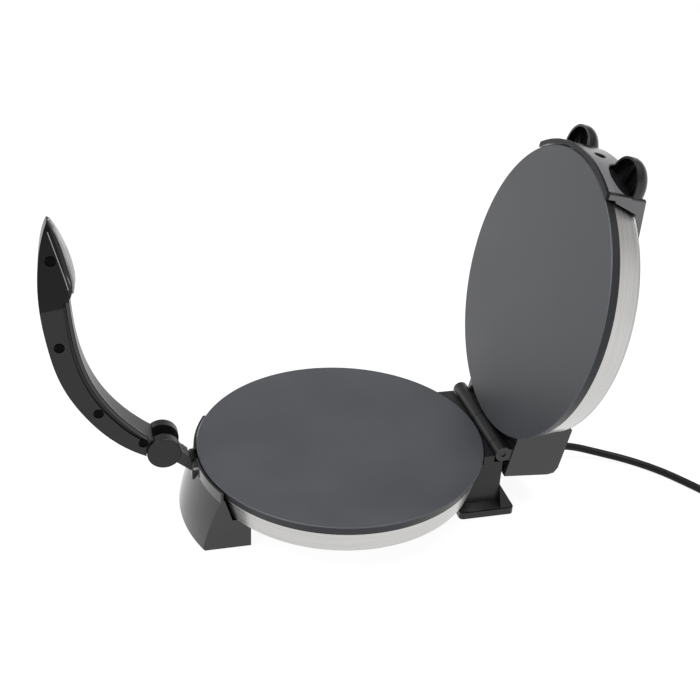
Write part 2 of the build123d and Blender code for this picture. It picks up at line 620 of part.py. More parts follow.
with BuildPart() as cord_strain_relief:
    with BuildSketch(Plane(origin=(CORD_X, RELIEF_Y, CORD_Z), x_dir=(1, 0, 0), z_dir=(0, 1, 0))):
        Circle(RELIEF_R)
    with BuildSketch(Plane(origin=(CORD_X, RELIEF_Y + RELIEF_L, CORD_Z), x_dir=(1, 0, 0), z_dir=(0, 1, 0))):
        Circle(CORD_R + 0.9)
    loft()
    with Locations((CORD_X, RELIEF_Y, CORD_Z)):
        Cylinder(RELIEF_R + 1.2, 2.4, rotation=(-90, 0, 0), align=(Align.CENTER, Align.CENTER, Align.MIN))

LEAD_Z = FLOOR + CORD_R + LEAD_LIFT
way_in = (cos(radians(LEAD_IN_TURN)), sin(radians(LEAD_IN_TURN)))
way_out = (cos(radians(LEAD_OUT_TURN)), sin(radians(LEAD_OUT_TURN)))
TURN_R = COIL_OUT_R - CORD_R - LEAD_LIFT
coil_start = (COIL_AT[0] + TURN_R * way_in[1], COIL_AT[1] - TURN_R * way_in[0])
coil_end = (COIL_AT[0] + TURN_R * way_out[1], COIL_AT[1] - TURN_R * way_out[0])
lead_end = (coil_start[0] - LEAD_IN * way_in[0], coil_start[1] - LEAD_IN * way_in[1], LEAD_Z)
plug_start = (coil_end[0] + LEAD_OUT * way_out[0], coil_end[1] + LEAD_OUT * way_out[1])
cord_points = [
    CORD_START,
    (CORD_X, CORD_START[1] + 29.0, CORD_Z),
    (CORD_X - 1.5, CORD_START[1] + 59.0, CORD_Z - 4.6),
    (CORD_X + 4.5, CORD_START[1] + 85.0, CORD_Z - 11.0),
    (CORD_X + 18.5, CORD_START[1] + 111.5, LEAD_Z + 0.6),
    (CORD_X + 40.0, CORD_START[1] + 134.5, LEAD_Z),
    (lead_end[0] - LAST_RUN * way_in[0], lead_end[1] - LAST_RUN * way_in[1], LEAD_Z),
    lead_end,
]


def bend_radii(points):
    """Largest smooth bend at each inner point: 0.45 of the shorter run over the tangent of half the turn."""
    radii = []
    for a, b, c in zip(points, points[1:], points[2:]):
        one = Vector(*b) - Vector(*a)
        two = Vector(*c) - Vector(*b)
        turn = radians(one.get_angle(two))
        radii.append(0.45 * min(one.length, two.length) / max(sin(turn / 2) / cos(turn / 2), 1e-6))
    return radii


cord_radii = bend_radii(cord_points)
with BuildPart() as mains_cord:
    with BuildLine():
        cord_run = FilletPolyline(*cord_points, radius=cord_radii)
    with BuildSketch(Plane(origin=cord_points[0], z_dir=cord_run % 0)):
        Circle(CORD_R)
    sweep(path=cord_run)
print("cord bend radii", [round(r, 1) for r in cord_radii])
print("cord volume over section x length", mains_cord.part.volume / (pi * CORD_R**2 * cord_run.length))

with BuildPart() as cord_coil:
    with Locations((*COIL_AT, FLOOR)):
        Cylinder(COIL_OUT_R, COIL_H, align=(Align.CENTER, Align.CENTER, Align.MIN))
        Cylinder(COIL_IN_R, COIL_H, align=(Align.CENTER, Align.CENTER, Align.MIN), mode=Mode.SUBTRACT)
    with BuildSketch(Plane(origin=lead_end, z_dir=(*way_in, 0))):
        Circle(CORD_R)
    extrude(amount=LEAD_IN)
    with BuildSketch(Plane(origin=(*coil_end, LEAD_Z), z_dir=(*way_out, 0))):
        Circle(CORD_R)
    extrude(amount=LEAD_OUT)

plug_face = (plug_start[0] + PLUG_L * way_out[0], plug_start[1] + PLUG_L * way_out[1], FLOOR + PLUG_H / 2)
with BuildPart() as plug_body:
    with BuildSketch(Plane(origin=plug_face, z_dir=(-way_out[0], -way_out[1], 0),
                           x_dir=(way_out[1], -way_out[0], 0))):
        RectangleRounded(PLUG_W, PLUG_H, 3)
    extrude(amount=PLUG_L)

PIN_L = 19.0
with BuildPart() as plug_pins:
    with BuildSketch(Plane(origin=plug_face, z_dir=(*way_out, 0), x_dir=(way_out[1], -way_out[0], 0))):
        with Locations((-PLUG_W / 3, 0), (PLUG_W / 3, 0)):
            Circle(2.4)
        Circle(3.5)
    extrude(amount=PIN_L)


# ------------------------------------------------------------------ link and lever
with BuildPart() as link_bar:
    with BuildSketch(Plane.YZ.offset(-LINK_HALF)):
        with Locations((PIVOT_Y, PIVOT_Z)):
            Circle(LINK_EYE_R)
        with Locations((KNUCKLE_Y, KNUCKLE_Z)):
            Circle(LINK_HEAD_R)
        make_hull()
    extrude(amount=2 * LINK_HALF)
    with Locations((-LINK_HALF, PIVOT_Y - 9, PIVOT_Z + 13.2)):
        Cylinder(LINK_EYE_R / 3, LINK_HALF, rotation=(0, 90, 0),
                 align=(Align.CENTER, Align.CENTER, Align.MIN))
    lip_at = Vector(0, -HOUSE_OUT_R - HOUSE_LIP - PIVOT_Y, LID_GAP - PIVOT_Z).rotate(Axis.X, LINK_SWING)
    with Locations((0, PIVOT_Y + lip_at.Y, PIVOT_Z + lip_at.Z)):
        Cylinder(LINK_NICK_R, 3 * LINK_HALF, rotation=(0, 90, 0), mode=Mode.SUBTRACT)
    with Locations((0, PIVOT_Y, PIVOT_Z)):
        Cylinder(LINK_PIN_R + RUN_FIT, 3 * LINK_HALF, rotation=(0, 90, 0), mode=Mode.SUBTRACT)
    with Locations((0, KNUCKLE_Y, KNUCKLE_Z)):
        Cylinder(LEVER_PIN_R + RUN_FIT, 3 * LINK_HALF, rotation=(0, 90, 0), mode=Mode.SUBTRACT)

def from_knuckle(points):
    """Points of the lever's side view, given from the middle of its knuckle."""
    return [(KNUCKLE_Y + y, KNUCKLE_Z + z) for y, z in points]


# Lever outline seen from the side, from the tip down its outer edge and from the knuckle up its inner edge
lever_outer = from_knuckle([
    (-76.5, 210.5), (-83.0, 188.5), (-87.0, 162.5), (-87.6, 135.5), (-85.0, 108.5), (-77.5, 73.5),
    (-62.0, 42.0), (-41.0, 16.0), (-12.0, -4.0),
])
lever_inner = from_knuckle([
    (-7.0, 11.0), (-28.0, 29.5), (-46.5, 54.5), (-58.0, 82.5), (-63.3, 111.5), (-64.8, 137.5),
    (-66.5, 163.5), (-70.5, 188.5), (-76.0, 209.9),
])
insert_edge = from_knuckle([
    (-64.6, 145.5), (-62.0, 155.5), (-64.0, 171.5), (-68.0, 190.5), (-75.4, 210.1),
])
insert_back = from_knuckle([(-77.5, 199.5), (-72.0, 155.5)])
lever_screw_spots = from_knuckle([
    (-76.0, 178.7), (-75.9, 105.4), (-50.5, 42.9), (-16.4, 10.5),
])
LEVER_BOSS_R = 4.6
LEVER_SCREW_R = 1.6


def drawn_in(points, inset):
    """Points of an edge moved to its left by the given wall."""
    moved = []
    for i, (y, z) in enumerate(points):
        before = points[max(i - 1, 0)]
        after = points[min(i + 1, len(points) - 1)]
        along = Vector(after[0] - before[0], after[1] - before[1]).normalized()
        moved.append((y - along.Y * inset, z + along.X * inset))
    return moved


def lever_outline(station, inset=0.0):
    """Side profile of the lever at a station along X, drawn in by the given wall and short of the tip."""
    outer = drawn_in(lever_outer[1:], inset) if inset else lever_outer
    inner = drawn_in(lever_inner[:-1], inset) if inset else lever_inner
    with BuildSketch(Plane.YZ.offset(station), mode=Mode.PRIVATE) as outline:
        with BuildLine():
            Spline(*outer)
            Spline(*inner)
            Line(outer[-1], inner[0])
            Line(inner[-1], outer[0])
        make_face()
    return outline.sketch


def on_lever(x0, x1, radius, spots=((KNUCKLE_Y, KNUCKLE_Z),), mode=Mode.ADD):
    """Round stock along X between two stations, at the knuckle or at other points of the side profile."""
    for y, z in spots:
        with Locations((x0, y, z)):
            Cylinder(radius, x1 - x0, rotation=(0, 90, 0), align=(Align.CENTER, Align.CENTER, Align.MIN),
                     mode=mode)


BODY_NEAR = COVER_SEAM - SEAM_GAP
SLOT_HALF = LINK_HALF + LINK_PLAY
SLOT_R = KNUCKLE_R + 0.8

POCKET_FLOOR = LEVER_FAR + LEVER_WALL

with BuildPart(mode=Mode.PRIVATE) as lever_pocket:
    extrude(lever_outline(POCKET_FLOOR, LEVER_WALL), amount=LEVER_NEAR - POCKET_FLOOR)
    on_lever(2 * LEVER_FAR, 2 * LEVER_NEAR, SLOT_R + LEVER_WALL, mode=Mode.SUBTRACT)
    on_lever(2 * LEVER_FAR, 2 * LEVER_NEAR, LEVER_BOSS_R, lever_screw_spots, Mode.SUBTRACT)

with BuildPart() as lever_body:
    extrude(lever_outline(LEVER_FAR), amount=BODY_NEAR - LEVER_FAR)
    on_lever(-CHEEK_OUT, LEVER_NEAR + SEAM_GAP, KNUCKLE_R)
    on_lever(-SLOT_HALF, SLOT_HALF, SLOT_R, mode=Mode.SUBTRACT)
    add(lever_pocket.part, mode=Mode.SUBTRACT)
    on_lever(POCKET_FLOOR, LEVER_NEAR, LEVER_SCREW_R, lever_screw_spots, Mode.SUBTRACT)
    on_lever(-CHEEK_OUT, LEVER_NEAR + SEAM_GAP, LEVER_PIN_R, mode=Mode.SUBTRACT)

with BuildPart() as lever_side_cover:
    extrude(lever_outline(COVER_SEAM), amount=LEVER_NEAR - COVER_SEAM)
    on_lever(0, 2 * LEVER_NEAR, KNUCKLE_R + SEAM_GAP, mode=Mode.SUBTRACT)
    on_lever(COVER_SEAM - 1, LEVER_NEAR, LEVER_SCREW_R, lever_screw_spots, Mode.SUBTRACT)
    on_lever(LEVER_NEAR - SCREW_SINK_H, LEVER_NEAR + 1, SCREW_SINK_R, lever_screw_spots, Mode.SUBTRACT)

with BuildPart() as lever_screws:
    on_lever(POCKET_FLOOR, LEVER_NEAR - SCREW_SINK_H, LEVER_SCREW_R, lever_screw_spots)
    on_lever(LEVER_NEAR - SCREW_SINK_H, LEVER_NEAR - SCREW_SINK_H + 1.8, SCREW_SINK_R - 0.9,
             lever_screw_spots)

with BuildPart() as grip_insert:
    with BuildSketch(Plane.YZ.offset(LEVER_FAR + 1.5)):
        with BuildLine():
            Spline(*insert_edge)
            Polyline(insert_edge[-1], *insert_back, insert_edge[0])
        make_face()
    extrude(amount=LEVER_NEAR - LEVER_FAR - 3)
    extrude(lever_outline(2 * LEVER_FAR), amount=4 * LEVER_NEAR, mode=Mode.SUBTRACT)

with BuildPart() as lever_steel_core:
    extrude(lever_outline(POCKET_FLOOR, LEVER_WALL + 0.6), amount=5)
    on_lever(2 * LEVER_FAR, 2 * LEVER_NEAR, SLOT_R + LEVER_WALL + 1, mode=Mode.SUBTRACT)
    on_lever(2 * LEVER_FAR, 2 * LEVER_NEAR, LEVER_BOSS_R + 0.3, lever_screw_spots, Mode.SUBTRACT)

with BuildPart() as lever_pin:
    on_lever(-CHEEK_OUT, LEVER_NEAR + SEAM_GAP, LEVER_PIN_R)

with BuildPart() as knuckle_cap_near:
    on_lever(LEVER_NEAR + SEAM_GAP, CAP_OUT, KNUCKLE_R)
    fillet(knuckle_cap_near.part.edges().sort_by(Axis.X)[-1], 0.8)

with BuildPart() as knuckle_cap_far:
    on_lever(-CHEEK_OUT - 1.6, -CHEEK_OUT, KNUCKLE_R - 3)

# ------------------------------------------------------------------ lid
upper_plate = cooking_plate(UP)
upper_element = element(UP)
lid_band = band(UP)
upper_heat_shield = shield(UP)
upper_studs = studs(UP, SHELL_H + COVER_STEP_H)
lid_thermal_fuse = fuse(UP, 0, -30)

HOUSE_SCREW_X = 40.0
HOUSE_SCREW_IN = 13.0  # front housing's screws, outside its inner end
LEAD_HOLE_Y = HINGE_Y - 40.6
front_house_screws = [(x, HOUSE_IN_Y - HOUSE_SCREW_IN) for x in (-HOUSE_SCREW_X, HOUSE_SCREW_X)]
rear_house_screws = [(HINGE_X - HOUSE_SCREW_X, LEAD_HOLE_Y), (HINGE_X + HOUSE_SCREW_X, LEAD_HOLE_Y)]
house_screw_spots = front_house_screws + rear_house_screws
LEAD_HOLE_R = 5.0
COVER_BASE = COVER_Z - COVER_T

with BuildPart() as lid_cover:
    with BuildSketch(Plane.XZ):
        with BuildLine():
            Polyline(
                (0, COVER_BASE + COVER_STEP_H),
                (COVER_STEP_R, COVER_BASE + COVER_STEP_H),
                (COVER_STEP_R + COVER_SLOPE, COVER_BASE),
                (BAND_END_R, COVER_BASE),
                (BAND_END_R, COVER_Z),
                (COVER_STEP_R + COVER_SLOPE, COVER_Z),
                (COVER_STEP_R, COVER_Z + COVER_STEP_H),
                (0, COVER_Z + COVER_STEP_H),
                close=True,
            )
        make_face()
    revolve(axis=Axis.Z)
    with BuildSketch(Plane.XY.offset(COVER_BASE)):
        with Locations(*house_screw_spots):
            Circle(SCREW_R)
        with Locations((HINGE_X, LEAD_HOLE_Y)):
            Circle(LEAD_HOLE_R)
    extrude(amount=COVER_T + COVER_STEP_H, mode=Mode.SUBTRACT)

BOSS_H = 12.0
SCREW_INTO = 6.0       # housing screws' hold in their bosses
HOUSE_ROUND = 3.0      # rounding between the front housing's wall and roof
HOUSE_LEAN = 1.5       # how far that wall leans in
HOUSE_BAND_ROOM = 2.0
HOUSE_ROOF_IN = (HOUSE_IN_Y, LID_GAP + HOUSE_CROWN_H)
HOUSE_ROOF_OUT = (-HOUSE_OUT_R - HOUSE_LIP, LID_GAP + HOUSE_EDGE_H)
lid_room = shell_room(UP, RIM_ROOM, 0.5, COVER_Z - LID_GAP)
lid_wall_room = shell_room(UP, RIM_ROOM + HOUSE_WALL, 0.5 + HOUSE_WALL, COVER_Z - LID_GAP)
front_room = shell_room(UP, RIM_ROOM, HOUSE_BAND_ROOM, COVER_Z - LID_GAP)
front_wall_room = shell_room(UP, RIM_ROOM + HOUSE_WALL, HOUSE_BAND_ROOM + HOUSE_WALL, COVER_Z - LID_GAP)


def house_block(outline, x0, x1, inset):
    """Side outline of a housing run across from x0 to x1, drawn in by the given wall."""
    with BuildPart(mode=Mode.PRIVATE) as block:
        with BuildSketch(Plane.YZ.offset(x0 + inset)):
            with BuildLine():
                Polyline(*outline, close=True)
            make_face()
            if inset:
                offset(amount=-inset, kind=Kind.INTERSECTION)
        extrude(amount=x1 - x0 - 2 * inset)
    return block.part


def front_wall(inset):
    """Everything inside the front housing's round outer wall, drawn in by the given wall."""
    base_r = HOUSE_OUT_R - inset
    with BuildPart(mode=Mode.PRIVATE) as drum:
        with BuildSketch(Plane.XZ):
            with BuildLine():
                Polyline(
                    (0, LID_GAP),
                    (base_r, LID_GAP),
                    (base_r, RIM_H),
                    (base_r - HOUSE_LEAN, LID_GAP + HOUSE_CROWN_H),
                    (base_r - HOUSE_LEAN, 2 * HOUSE_CROWN_H),
                    (0, 2 * HOUSE_CROWN_H),
                    close=True,
                )
            make_face()
        revolve(axis=Axis.Z)
    return drum.part


def between_lips(inset):
    """Room inside the lip round the housing's open side and ends, drawn in further by the given amount."""
    with BuildPart(mode=Mode.PRIVATE) as room:
        with Locations((0, 0, LID_GAP + HOUSE_LIP_T + inset)):
            Box(2 * (HOUSE_HALF - HOUSE_LIP_T - inset), TRIM, TRIM,
                align=(Align.CENTER, Align.MAX, Align.MIN))
    return room.part


def ear_middle(side):
    """Middle of a finger lift's lobe, seen from above."""
    reach = HOUSE_OUT_R + EAR_OUT - EAR_R
    return (side * reach * sin(radians(EAR_TURN)), -reach * cos(radians(EAR_TURN)))


def ear(side, wall, scoop):
    """Finger lift turned about its own middle: a round top, and a bowl of the given depth below its mouth."""
    x, y = ear_middle(side)
    mouth, top, half = LID_GAP + EAR_MOUTH_H, LID_GAP + EAR_TOP_H - wall, EAR_R - wall
    round_r = EAR_ROUND - wall
    with BuildPart(mode=Mode.PRIVATE) as lobe:
        with BuildSketch(Plane(origin=(x, y, 0), x_dir=(1, 0, 0), z_dir=(0, -1, 0))):
            with BuildLine():
                if scoop:
                    EllipticalCenterArc((0, mouth), half, scoop, start_angle=-90, arc_size=90)
                else:
                    Line((0, mouth), (half, mouth))
                Line((half, mouth), (half, top - round_r))
                RadiusArc((half, top - round_r), (half - round_r, top), -round_r)
                Polyline((half - round_r, top), (0, top), (0, mouth - scoop))
            make_face()
        revolve(axis=Axis((x, y, 0), (0, 0, 1)))
    return lobe.part


def finger_room(side):
    """Finger hollow under a lift, clear of the lid's own edge, with two ribs left standing in it."""
    x, y = ear_middle(side)
    with BuildPart(mode=Mode.PRIVATE) as hollow:
        add(ear(side, EAR_WALL, EAR_SCOOP))
        add(front_wall_room, mode=Mode.SUBTRACT)
        with Locations(Location((x, y, LID_GAP + EAR_MOUTH_H + EAR_RIB_UP), (0, 0, side * EAR_TURN))):
            with Locations((-EAR_R / 3, 0, 0), (EAR_R / 3, 0, 0)):
                Box(EAR_RIB_T, 2 * EAR_R, EAR_TOP_H, align=(Align.CENTER, Align.CENTER, Align.MIN),
                    mode=Mode.SUBTRACT)
    return hollow.part


front_outline = [
    (HOUSE_ROOF_OUT[0], LID_GAP),
    (HOUSE_IN_Y, LID_GAP),
    HOUSE_ROOF_IN,
    HOUSE_ROOF_OUT,
]

with BuildPart(mode=Mode.PRIVATE) as front_hollow:
    add(house_block(front_outline, -HOUSE_HALF, HOUSE_HALF, HOUSE_WALL))
    add(front_wall(HOUSE_WALL), mode=Mode.INTERSECT)
    add(front_wall_room, mode=Mode.SUBTRACT)
    for side in (-1, 1):
        add(ear(side, 0, EAR_SCOOP + EAR_WALL), mode=Mode.SUBTRACT)
    with Locations(*[(x, y, COVER_Z) for x, y in front_house_screws]):
        Cylinder(2.5 * SCREW_R, BOSS_H, align=(Align.CENTER, Align.CENTER, Align.MIN), mode=Mode.SUBTRACT)

# lip round the open side and the ends
with BuildPart(mode=Mode.PRIVATE) as front_lip:
    add(house_block(front_outline, -HOUSE_HALF, HOUSE_HALF, 0))
    add(front_wall(-HOUSE_LIP), mode=Mode.INTERSECT)
    add(between_lips(0), mode=Mode.SUBTRACT)

with BuildPart(mode=Mode.PRIVATE) as front_groove:
    add(between_lips(0))
    add(between_lips(GROOVE_W), mode=Mode.SUBTRACT)
    add(front_wall(GROOVE_D), mode=Mode.SUBTRACT)
    for side in (-1, 1):
        add(ear(side, 0, 0), mode=Mode.SUBTRACT)

FRONT_SCREW_X = 11.5
FRONT_SINK_R = 5.2
FRONT_SCREW_L = 6.0
front_screw_spots = [(side * FRONT_SCREW_X, -HOUSE_OUT_R, LID_GAP + 15.0) for side in (-1, 1)]
with BuildPart() as lid_front_housing:
    add(house_block(front_outline, -HOUSE_HALF, HOUSE_HALF, 0))
    add(front_wall(0), mode=Mode.INTERSECT)
    brow = lid_front_housing.edges().filter_by_position(
        Axis.Z, LID_GAP + HOUSE_EDGE_H - HOUSE_LIP, LID_GAP + HOUSE_CROWN_H - HOUSE_LIP).sort_by(Axis.Y)[0]
    fillet(brow, HOUSE_ROUND)
    add(front_lip.part)
    for side in (-1, 1):
        add(ear(side, 0, 0))
    add(front_room, mode=Mode.SUBTRACT)
    add(front_groove.part, mode=Mode.SUBTRACT)
    add(front_hollow.part, mode=Mode.SUBTRACT)
    for side in (-1, 1):
        add(finger_room(side), mode=Mode.SUBTRACT)
    with Locations(*[(x, y, COVER_Z) for x, y in front_house_screws]):
        Cylinder(SCREW_R, SCREW_INTO, align=(Align.CENTER, Align.CENTER, Align.MIN), mode=Mode.SUBTRACT)
    with Locations(*[(x, y - 1, z) for x, y, z in front_screw_spots]):
        Cylinder(FRONT_SINK_R, 3, rotation=(-90, 0, 0), align=(Align.CENTER, Align.CENTER, Align.MIN),
                 mode=Mode.SUBTRACT)
        Cylinder(SCREW_R, FRONT_SCREW_L, rotation=(-90, 0, 0), align=(Align.CENTER, Align.CENTER, Align.MIN),
                 mode=Mode.SUBTRACT)

with BuildPart() as front_housing_screws:
    with Locations(*[(x, y + 2, z) for x, y, z in front_screw_spots]):
        Cylinder(FRONT_SINK_R - 1.5, 1.4, rotation=(90, 0, 0), align=(Align.CENTER, Align.CENTER, Align.MIN))
        Cylinder(SCREW_R, FRONT_SCREW_L / 2, rotation=(-90, 0, 0),
                 align=(Align.CENTER, Align.CENTER, Align.MIN))

ROOF_ROUND = 8.0
rear_outline = [
    (REAR_TOE_Y, LID_GAP + SHELL_H - 5),
    (REAR_TOE_Y, COVER_Z + REAR_TOE_H),
    (REAR_FRONT_Y, LID_GAP + REAR_TOP_H),
    (REAR_BACK_Y - REAR_LEAN - ROOF_ROUND, LID_GAP + REAR_TOP_H),
    (REAR_BACK_Y - REAR_LEAN - ROOF_ROUND * 0.3, LID_GAP + REAR_TOP_H - ROOF_ROUND * 0.3),
    (REAR_BACK_Y - REAR_LEAN, LID_GAP + REAR_TOP_H - ROOF_ROUND),
    (REAR_BACK_Y, REAR_FLOOR_Z),
    (REAR_TOE_Y + 20, REAR_FLOOR_Z),
]
REAR_X = (HINGE_X - REAR_HALF, HINGE_X + REAR_HALF)
lamp_spots = [(HINGE_X - LAMP_PITCH / 2, LAMP_Y), (HINGE_X + LAMP_PITCH / 2, LAMP_Y)]
ROOF_Z = LID_GAP + REAR_TOP_H

with BuildPart(mode=Mode.PRIVATE) as rear_hollow:
    add(house_block(rear_outline, *REAR_X, HOUSE_WALL))
    add(lid_wall_room, mode=Mode.SUBTRACT)
    with Locations(*[(x, y, COVER_Z) for x, y in rear_house_screws]):
        Cylinder(2.5 * SCREW_R, BOSS_H, align=(Align.CENTER, Align.CENTER, Align.MIN), mode=Mode.SUBTRACT)
    with Locations((HINGE_X, HINGE_Y - 8, REAR_FLOOR_Z)):
        Box(2 * REAR_HALF, HINGE_Y - COLUMN_FRONT, LEAF_T + HOUSE_WALL,
            align=(Align.CENTER, Align.MIN, Align.MIN), mode=Mode.SUBTRACT)
    with Locations(*lid_leaf_screw_spots):
        Cylinder(2 * SCREW_R, LEAF_T + LEAF_SCREW_L + 2, align=(Align.CENTER, Align.CENTER, Align.MIN),
                 mode=Mode.SUBTRACT)

with BuildPart() as lid_rear_housing:
    add(house_block(rear_outline, *REAR_X, 0))
    add(lid_room, mode=Mode.SUBTRACT)
    add(rear_hollow.part, mode=Mode.SUBTRACT)
    with Locations(*[(x, y, COVER_Z) for x, y in rear_house_screws]):
        Cylinder(SCREW_R, SCREW_INTO, align=(Align.CENTER, Align.CENTER, Align.MIN), mode=Mode.SUBTRACT)
    for x0, x1 in LID_LEAF:
        with Locations(((x0 + x1) / 2, LID_LEAF_Y[0], REAR_FLOOR_Z)):
            Box(x1 - x0, LID_LEAF_Y[1] - LID_LEAF_Y[0], LEAF_T, align=(Align.CENTER, Align.MIN, Align.MIN),
                mode=Mode.SUBTRACT)
    with Locations(*lid_leaf_screw_spots):
        Cylinder(SCREW_R, LEAF_T + LEAF_SCREW_L, align=(Align.CENTER, Align.CENTER, Align.MIN),
                 mode=Mode.SUBTRACT)
    with Locations(*[(x, y, ROOF_Z) for x, y in lamp_spots]):
        Cylinder(LAMP_R, 3 * HOUSE_WALL, mode=Mode.SUBTRACT)

with BuildPart() as housing_screws:
    with Locations(*[(x, y, COVER_BASE) for x, y in house_screw_spots]):
        Cylinder(SCREW_R, COVER_T + SCREW_INTO, align=(Align.CENTER, Align.CENTER, Align.MIN))
        Cylinder(SCREW_HEAD_R, SCREW_HEAD_H, align=(Align.CENTER, Align.CENTER, Align.MAX))


def lamp_lens(spot):
    """Indicator lens let into the rear housing's top, slightly domed."""
    with BuildPart() as lens:
        with Locations((*spot, ROOF_Z - HOUSE_WALL)):
            Cylinder(LAMP_R, HOUSE_WALL + 1, align=(Align.CENTER, Align.CENTER, Align.MIN))
        fillet(lens.part.edges().sort_by(Axis.Z)[-1], 0.8)
    return lens


power_lamp_lens = lamp_lens(lamp_spots[0])
ready_lamp_lens = lamp_lens(lamp_spots[1])

with BuildPart() as indicator_lamps:
    with Locations(*[(x, y, ROOF_Z - HOUSE_WALL) for x, y in lamp_spots]):
        Cylinder(LAMP_R - 1.2, LAMP_DEPTH, align=(Align.CENTER, Align.CENTER, Align.MAX))

STAT_AT = (HINGE_X, SHIELD_R - 62.0)
STAT_R = 11.0
STAT_H = 9.0
shield_top = face_z(UP, SHIELD_DEPTH)
with BuildPart() as thermostat:
    with Locations((*STAT_AT, shield_top)):
        Cylinder(STAT_R, STAT_H, align=(Align.CENTER, Align.CENTER, Align.MIN))
        Box(2.4 * STAT_R, 6, 2, align=(Align.CENTER, Align.CENTER, Align.MIN))

with BuildPart() as lid_leads:
    for side in (-1, 1):
        tip = cold_end(UP, side)
        side_x = STAT_AT[0] + side * STAT_R
        run_z = tip[2] + WIRE_R
        add(wire([
            (tip[0], tip[1], run_z),
            (side_x + side * 8, STAT_AT[1], run_z),
            (side_x, STAT_AT[1], run_z),
        ], 1.5))
    lamp_x, lamp_y = lamp_spots[1]
    hole = (HINGE_X, LEAD_HOLE_Y)
    lamp_end = ROOF_Z - HOUSE_WALL - LAMP_DEPTH
    over = (COVER_Z + lamp_end) / 2
    add(wire([
        (HINGE_X, STAT_AT[1] + STAT_R, shield_top + STAT_H / 2),
        (*hole, shield_top + STAT_H / 2),
        (*hole, over),
        (lamp_x, lamp_y, over),
        (lamp_x, lamp_y, lamp_end),
    ], 2.0))

# ------------------------------------------------------------------ placing and writing
hinge_axis = Location((0, HINGE_Y, HINGE_Z))
swing = hinge_axis * Location((0, 0, 0), (-LID_OPEN, 0, 0)) * Location((0, -HINGE_Y, -HINGE_Z))
front_reach = min(p.part.bounding_box().min.Y for p in (lever_body, lever_side_cover, grip_insert))
open_lid = [p.part.moved(swing).bounding_box() for p in (lid_front_housing, lid_rear_housing)]
back_reach = max(box.max.Y for box in open_lid)
PLATE_Y = -(front_reach + back_reach) / 2
on_worktop = Location((0, PLATE_Y, FACE_H))


def write(piece, label, place):
    """Name one piece, put it in its rest pose on the worktop, and write it."""
    piece.part = piece.part.moved(place)
    piece.part.label = label
    export_step(piece.part, f"parts/{label}.step")


standing = {
    "lower_plate": lower_plate,
    "lower_element": lower_element,
    "base_band": base_band,
    "bottom_pan": bottom_pan,
    "lower_heat_shield": lower_heat_shield,
    "lower_studs": lower_studs,
    "lower_thermal_fuse": lower_thermal_fuse,
    "lower_leads": lower_leads,
    "terminal_block": terminal_block,
    "front_foot": front_foot,
    "hinge_stand": hinge_stand,
    "front_foot_pads": front_pads,
    "hinge_stand_pads": rear_pads,
    "foot_screws": foot_screws,
    "foot_nuts": foot_nuts,
    "base_hinge_leaf": base_hinge_leaf,
    "base_leaf_screws": base_leaf_screws_set,
    "hinge_pin": hinge_pin,
    "link_pivot_pin": link_pivot_pin,
    "cord_strain_relief": cord_strain_relief,
    "mains_cord": mains_cord,
    "cord_coil": cord_coil,
    "plug_body": plug_body,
    "plug_pins": plug_pins,
    "link_bar": link_bar,
    "lever_body": lever_body,
    "lever_side_cover": lever_side_cover,
    "lever_screws": lever_screws,
    "grip_insert": grip_insert,
    "lever_steel_core": lever_steel_core,
    "lever_pin": lever_pin,
    "knuckle_cap_near": knuckle_cap_near,
    "knuckle_cap_far": knuckle_cap_far,
}
swung = {
    "upper_plate": upper_plate,
    "upper_element": upper_element,
    "lid_band": lid_band,
    "lid_cover": lid_cover,
    "upper_heat_shield": upper_heat_shield,
    "upper_studs": upper_studs,
    "lid_thermal_fuse": lid_thermal_fuse,
    "lid_front_housing": lid_front_housing,
    "lid_rear_housing": lid_rear_housing,
    "front_housing_screws": front_housing_screws,
    "housing_screws": housing_screws,
    "lid_hinge_leaf": lid_hinge_leaf,
    "lid_leaf_screws": lid_leaf_screws_set,
    "thermostat": thermostat,
    "lid_leads": lid_leads,
    "power_lamp_lens": power_lamp_lens,
    "ready_lamp_lens": ready_lamp_lens,
    "indicator_lamps": indicator_lamps,
}
os.makedirs("parts", exist_ok=True)
for label, piece in standing.items():
    write(piece, label, on_worktop)
for label, piece in swung.items():
    write(piece, label, on_worktop * swing)
print("plate centre behind the row's origin", round(PLATE_Y, 3))
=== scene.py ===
import bpy
import bmesh
from math import cos, pi, radians, sin
from mathutils import Matrix, Vector


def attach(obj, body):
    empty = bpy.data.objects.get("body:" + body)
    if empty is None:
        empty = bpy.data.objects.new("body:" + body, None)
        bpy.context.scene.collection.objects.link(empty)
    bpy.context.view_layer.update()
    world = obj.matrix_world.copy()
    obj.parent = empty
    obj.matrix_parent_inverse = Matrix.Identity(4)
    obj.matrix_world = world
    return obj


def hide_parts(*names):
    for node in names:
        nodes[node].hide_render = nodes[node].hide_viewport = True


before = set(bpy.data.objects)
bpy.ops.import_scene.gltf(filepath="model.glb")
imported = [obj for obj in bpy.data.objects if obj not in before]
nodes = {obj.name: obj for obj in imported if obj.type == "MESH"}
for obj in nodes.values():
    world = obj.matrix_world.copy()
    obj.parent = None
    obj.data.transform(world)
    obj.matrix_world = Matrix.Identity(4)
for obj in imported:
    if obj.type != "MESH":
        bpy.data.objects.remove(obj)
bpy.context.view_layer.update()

# ---------------------------------------------------------------- camera
# The camera stands to the right of the open press, 0.75 m out and 0.57 m above the table, behind a
# 54 mm lens. It looks down on the press at 29 degrees and leans 3 degrees over to one side.
CAMERA_AT = (0.74952, -0.18878, 0.57292)
azimuth, elevation, roll = radians(74.8), radians(28.64), radians(2.88)
camera_data = bpy.data.cameras.new("camera")
camera_data.sensor_width = 36.0
camera_data.lens = 53.57
camera = bpy.data.objects.new("camera", camera_data)
bpy.context.scene.collection.objects.link(camera)
bpy.context.scene.camera = camera
backward = Vector((sin(azimuth) * cos(elevation), -cos(azimuth) * cos(elevation), sin(elevation)))
